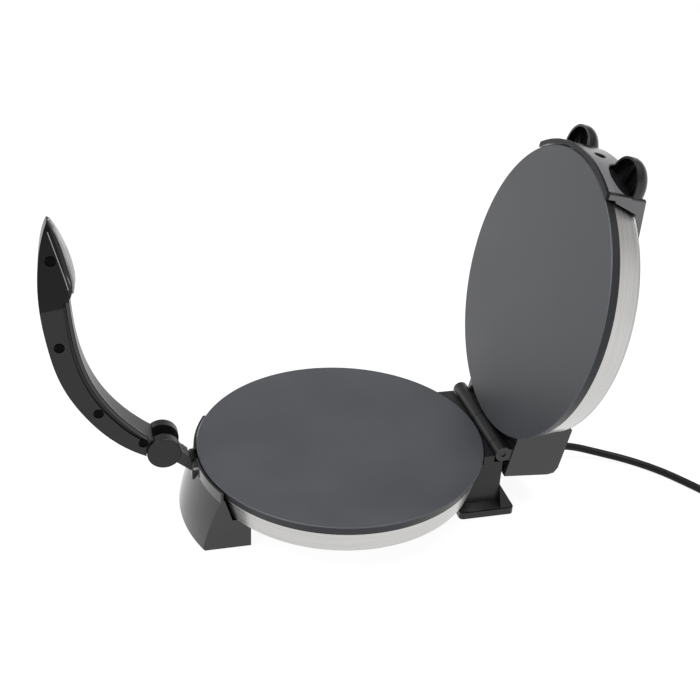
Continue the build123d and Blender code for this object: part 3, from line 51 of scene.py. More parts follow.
level_right = Vector((cos(azimuth), sin(azimuth), 0))
level_up = backward.cross(level_right)
right = cos(roll) * level_right + sin(roll) * level_up
up = cos(roll) * level_up - sin(roll) * level_right
facing = Matrix((right, up, backward)).transposed()
camera.matrix_world = Matrix.Translation(CAMERA_AT) @ facing.to_4x4()

# ---------------------------------------------------------------- mains lead
# A black three-core lead in a smooth rubber jacket. It leaves the back of the hinge stand through a
# tapered strain relief, drops to the table and runs off to the right, where its spare length is put
# away in a small coil beside its plug.
PLATE_Y = 0.010425                  # middle of the hot plates
LEAD_R = 0.00365
LEAD_Z = 0.00385                    # height of the lead's middle where it lies on the table
TOP_TURN = 0.0063                   # how much higher the last turn lies, on the two below it
COIL_X, COIL_Y = 0.0776, 0.3957 + PLATE_Y
WAY_IN = radians(31.5)              # the lead's heading as it reaches the coil
TURN_POINTS = 16                    # points in each turn of the coil
SHIFT_EARLY, SHIFT_LATE = 0.06, 0.12    # the lead steps over to its next turn in this part of a turn
SMOOTH_UNDER = radians(32)
turn_sizes = [(0.04360, LEAD_Z), (0.03620, LEAD_Z), (0.03990, LEAD_Z + TOP_TURN)]
lead_route = [
    (-0.0140, 0.1770, 0.0180),
    (-0.0140, 0.2060, 0.0180),
    (-0.0155, 0.2360, 0.0134),
    (-0.0095, 0.2620, 0.0070),
    (0.0045, 0.2885, LEAD_Z + 0.0006),
    (0.0260, 0.3115, LEAD_Z),
    (0.050852, 0.328349, LEAD_Z),
    (0.074725, 0.342979, LEAD_Z),
]
lead_points = [(x, y + PLATE_Y, z) for x, y, z in lead_route]
first_angle = WAY_IN - pi / 2
last_angle = 2 * pi * len(turn_sizes)
coil_steps = int((last_angle - first_angle) / (2 * pi) * TURN_POINTS)
for step in range(1, coil_steps + 1):
    turned = step / TURN_POINTS
    angle = first_angle + 2 * pi * turned
    ring = min(int(turned + SHIFT_EARLY), len(turn_sizes) - 1)
    moved = 1.0
    if ring and turned - ring < SHIFT_LATE:
        moved = (turned - ring + SHIFT_EARLY) / (SHIFT_EARLY + SHIFT_LATE)
    from_radius, from_height = turn_sizes[max(ring - 1, 0)]
    to_radius, to_height = turn_sizes[ring]
    radius = from_radius + (to_radius - from_radius) * moved
    height = from_height + (to_height - from_height) * moved
    lead_points.append((COIL_X + radius * cos(angle), COIL_Y + radius * sin(angle), height))
lead_points += [
    (COIL_X + 0.0412, COIL_Y + 0.010, LEAD_Z + TOP_TURN),
    (COIL_X + 0.0428, COIL_Y + 0.024, LEAD_Z + 0.0045),
    (COIL_X + 0.0434, COIL_Y + 0.038, LEAD_Z + 0.0015),
    (COIL_X + 0.04345, COIL_Y + 0.048, LEAD_Z + 0.0010),
]


def add_piece(name, data):
    """A new object in the scene, from a mesh or a curve."""
    piece = bpy.data.objects.new(name, data)
    bpy.context.scene.collection.objects.link(piece)
    return piece


def round_line(name, places, order, divisions, depth, radius=1.0):
    """A smooth round line, steered by the given places. Its own radius is depth times radius."""
    curve = bpy.data.curves.new(name, "CURVE")
    curve.dimensions = "3D"
    curve.bevel_depth = depth
    curve.bevel_resolution = 5
    curve.resolution_u = divisions
    curve.use_fill_caps = True
    line = curve.splines.new("NURBS")
    line.points.add(len(places) - 1)
    for point, place in zip(line.points, places):
        point.co = (*place, 1.0)
        point.radius = radius
    line.order_u = order
    line.use_endpoint_u = True
    return add_piece(name, curve)


def pick_alone(piece):
    """Selects one piece and nothing else, and makes it the active one."""
    bpy.ops.object.select_all(action="DESELECT")
    piece.select_set(True)
    bpy.context.view_layer.objects.active = piece


def put_on(material, *pieces):
    """Gives pieces one material, and rounds their shading where faces meet under SMOOTH_UNDER."""
    for piece in pieces:
        piece = nodes[piece] if isinstance(piece, str) else piece
        piece.data.materials.clear()
        piece.data.materials.append(material)
        if piece.type == "MESH":
            pick_alone(piece)
            bpy.ops.object.shade_smooth_by_angle(angle=SMOOTH_UNDER)


def new_material(name, color, roughness, metallic=0.0, coat=0.0, specular=0.5):
    """A material with its plain values on the shader itself."""
    material = bpy.data.materials.new(name)
    material.use_nodes = True
    shader = material.node_tree.nodes["Principled BSDF"]
    shader.inputs["Base Color"].default_value = (*color, 1.0)
    shader.inputs["Roughness"].default_value = roughness
    shader.inputs["Metallic"].default_value = metallic
    shader.inputs["Coat Weight"].default_value = coat
    shader.inputs["Specular IOR Level"].default_value = specular
    return material


def node_group(name, inputs, outputs):
    """An empty shader node group with named sockets, with its input and its output node."""
    group = bpy.data.node_groups.new(name, "ShaderNodeTree")
    for way, sockets in (("INPUT", inputs), ("OUTPUT", outputs)):
        for label, kind in sockets.items():
            group.interface.new_socket(label, in_out=way, socket_type=kind)
    return group, group.nodes.new("NodeGroupInput"), group.nodes.new("NodeGroupOutput")


def noise(tree, vector, scale, detail):
    """A noise texture that reads the given coordinates."""
    node = tree.nodes.new("ShaderNodeTexNoise")
    node.inputs["Scale"].default_value = scale
    node.inputs["Detail"].default_value = detail
    tree.links.new(vector, node.inputs["Vector"])
    return node


def remap(tree, value, low, high, to_low=0.0, to_high=1.0):
    """A value's span from low to high, brought to another span and held at its ends."""
    node = tree.nodes.new("ShaderNodeMapRange")
    ends = {"From Min": low, "From Max": high, "To Min": to_low, "To Max": to_high}
    for label, end in ends.items():
        node.inputs[label].default_value = end
    tree.links.new(value, node.inputs["Value"])
    return node


def multiplied(tree, first, second):
    """Two colours multiplied by each other."""
    node = tree.nodes.new("ShaderNodeMix")
    node.data_type = "RGBA"
    node.blend_type = "MULTIPLY"
    node.inputs["Factor"].default_value = 1.0
    tree.links.new(first, node.inputs[6])
    tree.links.new(second, node.inputs[7])
    return node.outputs[2]


def moulded_surface():
    """Node group: the faint orange-peel and shade changes of a moulded or cast surface."""
    number = "NodeSocketFloat"
    group, given, out = node_group(
        "moulded_surface",
        {"Color": "NodeSocketColor", "Scale": number, "Depth": number,
         "Rough Low": number, "Rough High": number},
        {"Color": "NodeSocketColor", "Roughness": number, "Normal": "NodeSocketVector"},
    )
    link = group.links.new
    place = group.nodes.new("ShaderNodeTexCoord")
    fine = noise(group, place.outputs["Object"], 1.0, 3.0)
    link(given.outputs["Scale"], fine.inputs["Scale"])
    bump = group.nodes.new("ShaderNodeBump")
    bump.inputs["Distance"].default_value = 0.001
    link(given.outputs["Depth"], bump.inputs["Strength"])
    link(fine.outputs["Fac"], bump.inputs["Height"])
    link(bump.outputs["Normal"], out.inputs["Normal"])
    broad = noise(group, place.outputs["Object"], 14.0, 4.0)
    rough = remap(group, broad.outputs["Fac"], 0.3, 0.7)
    link(given.outputs["Rough Low"], rough.inputs["To Min"])
    link(given.outputs["Rough High"], rough.inputs["To Max"])
    link(rough.outputs["Result"], out.inputs["Roughness"])
    tone = remap(group, broad.outputs["Fac"], 0.3, 0.7, 0.86, 1.1)
    link(multiplied(group, given.outputs["Color"], tone.outputs["Result"]), out.inputs["Color"])
    return group


MOULDED = moulded_surface()


def surface_with(material, group):
    """Places a surface's node group in a material and feeds its outputs to the shader."""
    tree = material.node_tree
    surface = tree.nodes.new("ShaderNodeGroup")
    surface.node_tree = group
    shader = tree.nodes["Principled BSDF"]
    for made, taken in (("Color", "Base Color"), ("Roughness", "Roughness"), ("Normal", "Normal")):
        tree.links.new(surface.outputs[made], shader.inputs[taken])
    return surface


def moulded_material(name, color, rough, scale, depth, metallic=0.0, coat=0.0, specular=0.5):
    """Moulded or cast finish: colour, a low and high roughness, and the size and depth of its texture."""
    material = new_material(name, color, rough[0], metallic, coat, specular)
    surface = surface_with(material, MOULDED)
    surface.inputs["Color"].default_value = (*color, 1.0)
    surface.inputs["Scale"].default_value = scale
    surface.inputs["Depth"].default_value = depth
    surface.inputs["Rough Low"].default_value = rough[0]
    surface.inputs["Rough High"].default_value = rough[1]
    return material


# the lead's radius is kept on its points, because its box is worked out from them
mains_lead = round_line("mains_lead", lead_points, order=3, divisions=6, depth=1.0, radius=LEAD_R)
lead_jacket = moulded_material("lead_jacket", (0.004, 0.004, 0.0045), (0.46, 0.58), 900, 0.03, specular=0.22)
put_on(lead_jacket, mains_lead, "cord_strain_relief")
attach(mains_lead, "base")
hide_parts("mains_cord", "cord_coil")

# ---------------------------------------------------------------- plug
# The lead ends in a plug moulded on to it in black rubber, with three plated brass pins set in its face.
# Plug and lead are one sealed piece, and lie loose on the table.
plug_shell = moulded_material("plug_shell", (0.014, 0.014, 0.015), (0.4, 0.5), 1200, 0.05)
pin_metal = moulded_material("pin_metal", (0.72, 0.62, 0.4), (0.2, 0.32), 600, 0.02, metallic=1.0)
put_on(plug_shell, "plug_body")
put_on(pin_metal, "plug_pins")

# ---------------------------------------------------------------- cooking plates
# Two cast aluminium discs with a dark non-stick coating, sprayed on with a fine grain. A painted highlight
# runs as a fine light line along the edge of the face, and past it the rim is darker and less glossy.
LID_OPEN = radians(101.4)
HINGE_Y, HINGE_Z = 0.1346 + PLATE_Y, 0.0603
LOWER_FACE, UPPER_FACE = 0.0600, 0.0606     # heights of the two faces with the lid shut
RIM_SHADE = 0.002                           # the painted highlight and the darker rim run over this depth below the face
RIM_DULL_SPAN = (0.0008, 0.0010)                 # between these depths, past the painted highlight line, its sheen fades
RIM_METAL = 0.6                             # how far the sheen fades there


def on_lid(y, z):
    """Where a point of the shut lid lies with the lid open."""
    from_y, from_z = y - HINGE_Y, z - HINGE_Z
    return (0.0, HINGE_Y + from_y * cos(LID_OPEN) + from_z * sin(LID_OPEN),
            HINGE_Z - from_y * sin(LID_OPEN) + from_z * cos(LID_OPEN))


def from_middle(tree, middle, tilt):
    """The place of each point, measured from a piece's own middle and along its own tilt."""
    place = tree.nodes.new("ShaderNodeTexCoord")
    level = tree.nodes.new("ShaderNodeMapping")
    level.vector_type = "TEXTURE"
    level.inputs["Location"].default_value = middle
    level.inputs["Rotation"].default_value = (tilt, 0.0, 0.0)
    tree.links.new(place.outputs["Object"], level.inputs["Vector"])
    return level.outputs["Vector"]


def worked_out(tree, operation, vector, by=None):
    """A vector after one vector operation, or its length."""
    node = tree.nodes.new("ShaderNodeVectorMath")
    node.operation = operation
    tree.links.new(vector, node.inputs[0])
    if by:
        node.inputs[1].default_value = by
    return node.outputs["Value" if operation == "LENGTH" else "Vector"]


def height_of(tree, vector):
    """The upward part of a vector."""
    parts = tree.nodes.new("ShaderNodeSeparateXYZ")
    tree.links.new(vector, parts.inputs["Vector"])
    return parts.outputs["Z"]


def shades(tree, value, *stops):
    """A colour that runs through the given stops, each a position and its colour."""
    ramp = tree.nodes.new("ShaderNodeValToRGB")
    elements = ramp.color_ramp.elements
    for element, (position, color) in zip(elements, (stops[0], stops[-1])):
        element.position = position
        element.color = (*color, 1)
    for position, color in stops[1:-1]:
        elements.new(position).color = (*color, 1)
    tree.links.new(value, ramp.inputs["Fac"])
    return ramp.outputs["Color"]


def coating_rim():
    """Node group: a painted highlight along the edge of the face, and a darker, duller rim beyond it."""
    group, given, out = node_group(
        "coating_rim", {"Vector": "NodeSocketVector"},
        {"Shade": "NodeSocketColor", "Metal": "NodeSocketFloat"},
    )
    depth = height_of(group, worked_out(group, "ABSOLUTE", given.outputs["Vector"]))
    down_rim = remap(group, depth, 0.0, RIM_SHADE).outputs["Result"]
    # the stops above 1 are a painted highlight along the face's edge; the last stop makes the rim darker
    shade = shades(group, down_rim, (0.06, (1.0, 1.0, 1.0)), (0.16, (1.5, 1.5, 1.5)), (0.34, (1.4, 1.4, 1.4)),
                   (0.50, (0.32, 0.32, 0.34)))
    group.links.new(shade, out.inputs["Shade"])
    group.links.new(remap(group, depth, *RIM_DULL_SPAN, 0.0, RIM_METAL).outputs["Result"], out.inputs["Metal"])
    return group


COATING_RIM = coating_rim()


def plate_finish(name, middle, tilt):
    """Sprayed coating of a plate whose face has the given middle and tilt, with a painted highlight at its
    edge.
    """
    material = moulded_material(name, (0.045, 0.047, 0.053), (0.40, 0.50), 2600, 0.10)
    tree = material.node_tree
    rim = tree.nodes.new("ShaderNodeGroup")
    rim.node_tree = COATING_RIM
    tree.links.new(from_middle(tree, middle, tilt), rim.inputs["Vector"])
    shader = tree.nodes["Principled BSDF"]
    sprayed = shader.inputs["Base Color"].links[0].from_socket
    tree.links.new(multiplied(tree, sprayed, rim.outputs["Shade"]), shader.inputs["Base Color"])
    tree.links.new(rim.outputs["Metal"], shader.inputs["Metallic"])
    return material


put_on(plate_finish("lower_plate_coating", (0.0, PLATE_Y, LOWER_FACE), 0.0), "lower_plate")
put_on(plate_finish("upper_plate_coating", on_lid(PLATE_Y, UPPER_FACE), -LID_OPEN), "upper_plate")

# ---------------------------------------------------------------- steel bands
# Thin stainless bands round each half, folded in at the far edge and held between the plate and the pan
# or cover. They are brushed along their length, so their scratches run round the press.
BASE_BAND_Z, LID_BAND_Z = 0.04, 0.08
SCRATCH_SQUEEZE = (9.0, 9.0, 1500.0)        # long round the band and a fraction of a millimetre across it


def brushed_scratches():
    """Node group: fine scratches that run level round a band's middle."""
    group, given, out = node_group(
        "brushed_scratches", {"Vector": "NodeSocketVector"},
        {"Color": "NodeSocketColor", "Roughness": "NodeSocketFloat", "Normal": "NodeSocketVector"},
    )
    squeezed = group.nodes.new("ShaderNodeMapping")
    squeezed.inputs["Scale"].default_value = SCRATCH_SQUEEZE
    group.links.new(given.outputs["Vector"], squeezed.inputs["Vector"])
    scratches = noise(group, squeezed.outputs["Vector"], 1.0, 3.0).outputs["Fac"]
    bump = group.nodes.new("ShaderNodeBump")
    bump.inputs["Strength"].default_value = 0.06
    bump.inputs["Distance"].default_value = 0.0004
    group.links.new(scratches, bump.inputs["Height"])
    tone = shades(group, scratches, (0.3, (0.46, 0.455, 0.445)), (0.7, (0.60, 0.595, 0.585)))
    group.links.new(tone, out.inputs["Color"])
    group.links.new(remap(group, scratches, 0.3, 0.7, 0.20, 0.38).outputs["Result"], out.inputs["Roughness"])
    group.links.new(bump.outputs["Normal"], out.inputs["Normal"])
    return group


BRUSHED = brushed_scratches()


def brushed_steel(name, middle, tilt):
    """Stainless steel brushed round the given middle, for a band with the given tilt."""
    material = new_material(name, (0.60, 0.59, 0.57), 0.3, metallic=1.0)
    surface = surface_with(material, BRUSHED)
    material.node_tree.links.new(from_middle(material.node_tree, middle, tilt), surface.inputs["Vector"])
    return material


put_on(brushed_steel("base_band_steel", (0.0, PLATE_Y, BASE_BAND_Z), 0.0), "base_band")
put_on(brushed_steel("lid_band_steel", on_lid(PLATE_Y, LID_BAND_Z), -LID_OPEN), "lid_band")

# ---------------------------------------------------------------- bottom pan and lid cover
# Two shallow pans pressed from plain sheet steel, with the dull even gloss of the rolled sheet. One closes
# the base from below, and the other closes the lid from above, with a low round relief in its top.
sheet_steel = moulded_material("sheet_steel", (0.5, 0.5, 0.5), (0.35, 0.5), 200, 0.02, metallic=1.0)
put_on(sheet_steel, "bottom_pan", "lid_cover")

# ---------------------------------------------------------------- heating parts
# Behind each plate: a sheathed element, a bright heat shield on zinc plated studs, a glazed cut-out, and
# leads in fibre sleeves. The thermostat sits in the lid and the terminal block in the base.
sheath = moulded_material("element_sheath", (0.06, 0.055, 0.05), (0.5, 0.65), 500, 0.05, metallic=0.6)
bright = moulded_material("bright_tray", (0.8, 0.8, 0.81), (0.15, 0.3), 120, 0.02, metallic=1.0)
zinc = moulded_material("zinc_plate", (0.5, 0.5, 0.49), (0.25, 0.4), 700, 0.03, metallic=1.0)
glaze = moulded_material("white_glaze", (0.75, 0.72, 0.66), (0.2, 0.3), 200, 0.02)
sleeve = moulded_material("lead_sleeve", (0.45, 0.06, 0.05), (0.45, 0.6), 900, 0.05)
put_on(sheath, "lower_element", "upper_element")
put_on(bright, "lower_heat_shield", "upper_heat_shield")
put_on(zinc, "lower_studs", "upper_studs")
put_on(glaze, "lower_thermal_fuse", "lid_thermal_fuse", "terminal_block", "thermostat")
put_on(sleeve, "lower_leads", "lid_leads")

# ---------------------------------------------------------------- feet
# Two black mouldings bolted to the base: a wide front foot with a glossy face, which also carries the
# lever's link, and the satin stand under the hinge. Rubber pads are pressed in under both.
SATIN = dict(color=(0.006, 0.006, 0.007), rough=(0.28, 0.38), scale=1400, depth=0.05, specular=0.38)
gloss_black = moulded_material("gloss_black", (0.008, 0.008, 0.009), (0.14, 0.22), 700, 0.02, coat=0.3)
satin_black = moulded_material("satin_black", **SATIN)
pad_rubber = moulded_material("pad_rubber", (0.01, 0.01, 0.01), (0.7, 0.85), 1500, 0.1)
put_on(gloss_black, "front_foot")
put_on(satin_black, "hinge_stand")
put_on(pad_rubber, "front_foot_pads", "hinge_stand_pads")
put_on(zinc, "foot_screws", "foot_nuts")

# ---------------------------------------------------------------- hinge and link
# Black painted steel. The hinge's leaves are screwed to the base and to the lid, and their knuckles turn
# on one pin. The link is a short bar that swings in the front foot on its own pin and carries the lever.
leaf_paint = moulded_material("leaf_paint", (0.009, 0.009, 0.010), (0.25, 0.36), 1000, 0.04)
put_on(leaf_paint, "base_hinge_leaf", "lid_hinge_leaf", "hinge_pin", "link_bar")
put_on(leaf_paint, "base_leaf_screws", "lid_leaf_screws")
put_on(zinc, "link_pivot_pin")

# ---------------------------------------------------------------- lever
# Two black mouldings screwed together over a steel core. The near moulding stops short of the inner edge,
# where a round bead of the other one shows beyond a deep black groove. Both draw in to a leaf's point.
KNUCKLE_Y, KNUCKLE_Z = -0.156 + PLATE_Y, 0.0725     # the pin that the lever turns on
LEVER_NEAR = 0.013                                  # near face of the lever
COVER_SEAM = 0.010                                  # the two mouldings meet here
GROOVE_FROM, GROOVE_TO = -3.0, 5.2                  # millimetres in from the inner edge
BEAD_IN, BEAD_R = 1.9, 0.00185                      # millimetres in from the inner edge; the bead's radius
TIP_FOOT, TIP_END = 0.184, 0.2115                   # heights above the knuckle where the tip draws in
TIP_SLICES = 9
TIP_WIDTH, TIP_DROP = 0.30, 0.0036                  # share of the width left at the end, and its fall
BEAD_X = LEVER_NEAR - 0.0021
GROOVE_FLOOR, PAST_LEVER = COVER_SEAM + 0.0008, 0.020   # the groove is cut from past the lever to here
TIP_SHADE_Y, TIP_SHADE_Z = KNUCKLE_Y - 0.078, KNUCKLE_Z + 0.138   # the dulled sheen, a painted shade, ends on a line through here
TIP_SHADE_SLANT, TIP_SHADE_EDGE, TIP_SHADE_METAL = radians(8.0), 0.0003, 0.62
SAME_POINT = 0.000005                               # corners this close become one
SAME_PLANE = radians(0.5)                           # faces this near to one plane become one face
# the inner edge from the knuckle to the grip, in millimetres from the knuckle
inner_edge = [(-12.0, 15.2), (-28.0, 29.5), (-46.5, 54.5), (-58.0, 82.5), (-63.3, 111.5), (-64.8, 137.5),
              (-65.0, 144.0)]


def set_in(points, distance):
    """Places in the lever's plane that lie a distance in from a line, all given in millimetres."""
    places = []
    for number, (y, z) in enumerate(points):
        before = Vector(points[max(number - 1, 0)])
        after = Vector(points[min(number + 1, len(points) - 1)])
        along = (after - before).normalized()
        inward = Vector((-along.y, along.x))
        spot = (Vector((y, z)) + inward * distance) / 1000
        places.append((KNUCKLE_Y + spot.x, KNUCKLE_Z + spot.y))
    return places


def lever_line(name, points, x, inset, thickness):
    """A smooth round bead that follows a line on the lever, set in from it by the given distance."""
    places = [(x, y, z) for y, z in set_in(points, inset)]
    bead = round_line(name, places, order=4, divisions=8, depth=thickness)
    pick_alone(bead)
    bpy.ops.object.convert(target="MESH")
    return bpy.context.object


def strip_cutter(name, points, first, last, x0, x1):
    """A solid strip along a line, from one distance inside it to another, to cut a moulding back."""
    ring = set_in(points, first) + set_in(points, last)[::-1]
    shape = bmesh.new()
    near = [shape.verts.new((x1, y, z)) for y, z in ring]
    far = [shape.verts.new((x0, y, z)) for y, z in ring]
    shape.faces.new(near)
    shape.faces.new(far[::-1])
    for here in range(len(ring)):
        there = (here + 1) % len(ring)
        shape.faces.new((near[there], near[here], far[here], far[there]))
    bmesh.ops.recalc_face_normals(shape, faces=shape.faces)
    mesh = bpy.data.meshes.new(name)
    shape.to_mesh(mesh)
    shape.free()
    return add_piece(name, mesh)


def smooth_line(points, steps=6):
    """Points of a smooth line through the given ones."""
    smooth = []
    for number in range(len(points) - 1):
        p0, p1 = Vector(points[max(number - 1, 0)]), Vector(points[number])
        p2, p3 = Vector(points[number + 1]), Vector(points[min(number + 2, len(points) - 1)])
        for step in range(steps):
            s = step / steps
            smooth.append(tuple(0.5 * (2 * p1 + (p2 - p0) * s + (2 * p0 - 5 * p1 + 4 * p2 - p3) * s * s
                                       + (3 * p1 - p0 - 3 * p2 + p3) * s ** 3)))
    smooth.append(points[-1])
    return smooth


def loose_copy(name, node):
    """A CAD node's mesh as one closed skin, free to be shaped."""
    piece = add_piece(name, nodes[node].data.copy())
    pick_alone(piece)
    if piece.data.has_custom_normals:
        bpy.ops.mesh.customdata_custom_splitnormals_clear()
    bpy.ops.object.mode_set(mode="EDIT")
    bpy.ops.mesh.select_all(action="SELECT")
    bpy.ops.mesh.remove_doubles(threshold=SAME_POINT)
    bpy.ops.mesh.dissolve_limited(angle_limit=SAME_PLANE)
    bpy.ops.object.mode_set(mode="OBJECT")
    return piece


def draw_in_tip(piece):
    """Slices the grip across near its tip and draws the slices in to a leaf's point."""
    foot, tip = KNUCKLE_Z + TIP_FOOT, KNUCKLE_Z + TIP_END
    pick_alone(piece)
    bpy.ops.object.mode_set(mode="EDIT")
    for step in range(TIP_SLICES):
        bpy.ops.mesh.select_all(action="SELECT")
        bpy.ops.mesh.bisect(plane_co=(0, 0, foot + (tip - foot) * step / TIP_SLICES), plane_no=(0, 0, 1))
    bpy.ops.object.mode_set(mode="OBJECT")
    for corner in piece.data.vertices:
        rise = (corner.co.z - foot) / (tip - foot)
        if rise > 0:
            corner.co.x *= TIP_WIDTH + (1 - TIP_WIDTH) * max(1 - min(rise, 1.0) ** 2, 0) ** 0.5
            corner.co.z -= TIP_DROP * rise ** 2


def dulled_tip_finish(name):
    """The mouldings' satin black, its sheen dulled as a painted shade from the grip's tip down to a slanting
    line.
    """
    material = moulded_material(name, **SATIN)
    tree = material.node_tree
    slant = from_middle(tree, (0.0, TIP_SHADE_Y, TIP_SHADE_Z), TIP_SHADE_SLANT)
    # painted shade: a partial Metallic dulls the sheen so that the tip end reads blacker
    tip_shade = remap(tree, height_of(tree, slant), -TIP_SHADE_EDGE, TIP_SHADE_EDGE, 0.0, TIP_SHADE_METAL)
    tree.links.new(tip_shade.outputs["Result"], tree.nodes["Principled BSDF"].inputs["Metallic"])
    return material


near_cover = loose_copy("lever_near_cover", "lever_side_cover")
groove_cutter = strip_cutter(
    "groove_cutter", smooth_line(inner_edge), GROOVE_FROM, GROOVE_TO, GROOVE_FLOOR, PAST_LEVER
)
groove = near_cover.modifiers.new("groove", "BOOLEAN")
groove.operation = "DIFFERENCE"
groove.solver = "EXACT"
groove.object = groove_cutter
bpy.ops.object.modifier_apply(modifier=groove.name)
bpy.data.objects.remove(groove_cutter)
lever_shell = loose_copy("lever_shell", "lever_body")
inner_bead = lever_line("lever_inner_bead", inner_edge, BEAD_X, BEAD_IN, BEAD_R)
for piece in (near_cover, lever_shell):
    draw_in_tip(piece)

# painted shade: the screws are flat, dull black so that they read as the shade in their recesses
recess_shade_black = moulded_material("recess_shade_black", (0.002, 0.002, 0.002), (0.8, 0.9), 900, 0.02, specular=0.08)
put_on(dulled_tip_finish("lever_moulding"), near_cover, lever_shell)
put_on(satin_black, "lever_body", "lever_side_cover", "knuckle_cap_near", "knuckle_cap_far")
put_on(gloss_black, inner_bead)
put_on(recess_shade_black, "lever_screws")
put_on(zinc, "lever_steel_core", "lever_pin")
for piece in (near_cover, lever_shell, inner_bead):
    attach(piece, "lever")
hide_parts("lever_side_cover")
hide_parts("lever_body")

# ---------------------------------------------------------------- grip
# A firm grey insert, moulded full in its lower third and clipped in between the mouldings, over a black band
# that is a painted shadow.
# Faint streaks run up it. A thin grey bead along the near moulding's edge beside it is a painted highlight.
# painted highlight: a thin grey bead that stands for the near moulding's edge catching light
EDGE_HIGHLIGHT_X, EDGE_HIGHLIGHT_R = LEVER_NEAR - 0.0001, 0.00036
INSERT_STEPS = 5                    # rings between each two of the insert's own places
INSERT_TURNS = 17                   # points across the insert's crown
INSERT_ROUND = 0.8                  # under 1, the crown's shoulders are fuller than a half circle's
ROOT_WIDTH, ROOT_IN, ROOT_DOWN = 0.9, 3.0, 1.0      # share of the width and millimetres, sunk in the seat
blade_edge = [(-65.0, 154.5), (-66.4, 162.0), (-69.4, 175.0), (-72.6, 188.0), (-76.0, 202.5)]
# the insert from its tip to its foot, in millimetres from the knuckle: its edge, crown and half width
insert_side = [(-74.4, 206.9), (-71.7, 199.1), (-69.7, 188.6), (-68.1, 178.5), (-65.6, 167.1),
               (-62.9, 156.6), (-61.7, 150.5)]
insert_crown = [(-73.6, 208.0), (-69.3, 199.4), (-64.9, 188.0), (-61.9, 178.5), (-59.7, 167.1),
                (-59.3, 157.6), (-61.0, 149.2)]
insert_half = [1.6, 5.6, 9.6, 11.2, 11.5, 11.5, 10.5]
STREAK_SQUEEZE, STREAK_LEAN = (420.0, 160.0, 9.0), radians(-14)     # fine across the grip, long up it
STREAK_DARK, STREAK_LIGHT = 0.62, 1.35              # shares of the grey in the streaks


def streaked_grey(name, color):
    """Grey plastic with long faint streaks that run up the grip."""
    material = moulded_material(name, color, (0.26, 0.36), 900, 0.03)
    tree = material.node_tree
    place = tree.nodes.new("ShaderNodeTexCoord")
    drawn = tree.nodes.new("ShaderNodeMapping")
    drawn.inputs["Scale"].default_value = STREAK_SQUEEZE
    drawn.inputs["Rotation"].default_value = (STREAK_LEAN, 0.0, 0.0)
    tree.links.new(place.outputs["Object"], drawn.inputs["Vector"])
    streaks = noise(tree, drawn.outputs["Vector"], 1.0, 2.0)
    darker = [value * STREAK_DARK for value in color]
    lighter = [value * STREAK_LIGHT for value in color]
    tone = shades(tree, streaks.outputs["Fac"], (0.35, darker), (0.65, lighter))
    tree.links.new(tone, tree.nodes["Principled BSDF"].inputs["Base Color"])
    return material


grip_shadow_band = loose_copy("grip_shadow_band", "grip_insert")
edge_highlight_line = lever_line("lever_edge_highlight_line", blade_edge, EDGE_HIGHLIGHT_X, 0.0, EDGE_HIGHLIGHT_R)
for piece in (grip_shadow_band, edge_highlight_line):
    draw_in_tip(piece)

side_run, crown_run = smooth_line(insert_side, INSERT_STEPS), smooth_line(insert_crown, INSERT_STEPS)
half_run = [half for half, _ in smooth_line([(half, 0.0) for half in insert_half], INSERT_STEPS)]
insert = bmesh.new()
rings = []
for (side_y, side_z), (crown_y, crown_z), half in zip(side_run, crown_run, half_run):
    ring = []
    for turn in range(INSERT_TURNS):
        swing = pi * turn / (INSERT_TURNS - 1)
        out = sin(swing) ** INSERT_ROUND
        ring.append((half * cos(swing), side_y + (crown_y - side_y) * out, side_z + (crown_z - side_z) * out))
    for x in (-half * ROOT_WIDTH, half * ROOT_WIDTH):
        ring.append((x, side_y - ROOT_IN, side_z - ROOT_DOWN))
    places = [(x / 1000, KNUCKLE_Y + y / 1000, KNUCKLE_Z + z / 1000) for x, y, z in ring]
    rings.append([insert.verts.new(place) for place in places])
for upper, lower in zip(rings, rings[1:]):
    for here in range(len(upper)):
        there = (here + 1) % len(upper)
        insert.faces.new((upper[here], upper[there], lower[there], lower[here]))
insert.faces.new(rings[0][::-1])
insert.faces.new(rings[-1])
bmesh.ops.recalc_face_normals(insert, faces=insert.faces)
insert_mesh = bpy.data.meshes.new("grip_pad")
insert.to_mesh(insert_mesh)
insert.free()
grip_pad = add_piece("grip_pad", insert_mesh)

edge_highlight_grey = moulded_material("edge_highlight_grey", (0.26, 0.26, 0.268), (0.22, 0.34), 900, 0.03)
# painted shadow: the black copy of the insert stands for the shade in the gap beside the grey crown
put_on(satin_black, grip_shadow_band)
put_on(streaked_grey("insert_streaks", (0.30, 0.30, 0.31)), "grip_insert", grip_pad)
put_on(edge_highlight_grey, edge_highlight_line)
for piece in (grip_shadow_band, edge_highlight_line, grip_pad):
    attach(piece, "lever")
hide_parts("grip_insert")

# ---------------------------------------------------------------- lid housings
# Black mouldings screwed to the lid: the front one with two finger lifts hollowed for fingertips, and the
# glossy rear one over the hinge, with a red and a green lens set in its top over their lamps.
WALL_EDGE = (0.1311, 0.1314)                        # the round wall ends here, from the plate's middle
LIP_EDGE = (0.0028, 0.0031)                         # and its lip ends here, above the upper plate's face
LIP_METAL = 0.72                                    # how far the sheen fades on the lip, a painted shade
# painted light: the round wall is coloured grey where it looks lit
WALL_PAINTED_LIGHT = (0.115, 0.115, 0.120)
LIFT_FROM_MIDDLE, LIFT_TURN = 0.126, radians(20)    # middle of each finger lift
LIFT_R, LIFT_MOUTH, LIFT_SCOOP = 0.022, 0.024, 0.013
LIFT_EDGE = (1.02, 1.035)                           # the hollow's skin, in shares of the hollow's size
NO_LIMIT = 100.0


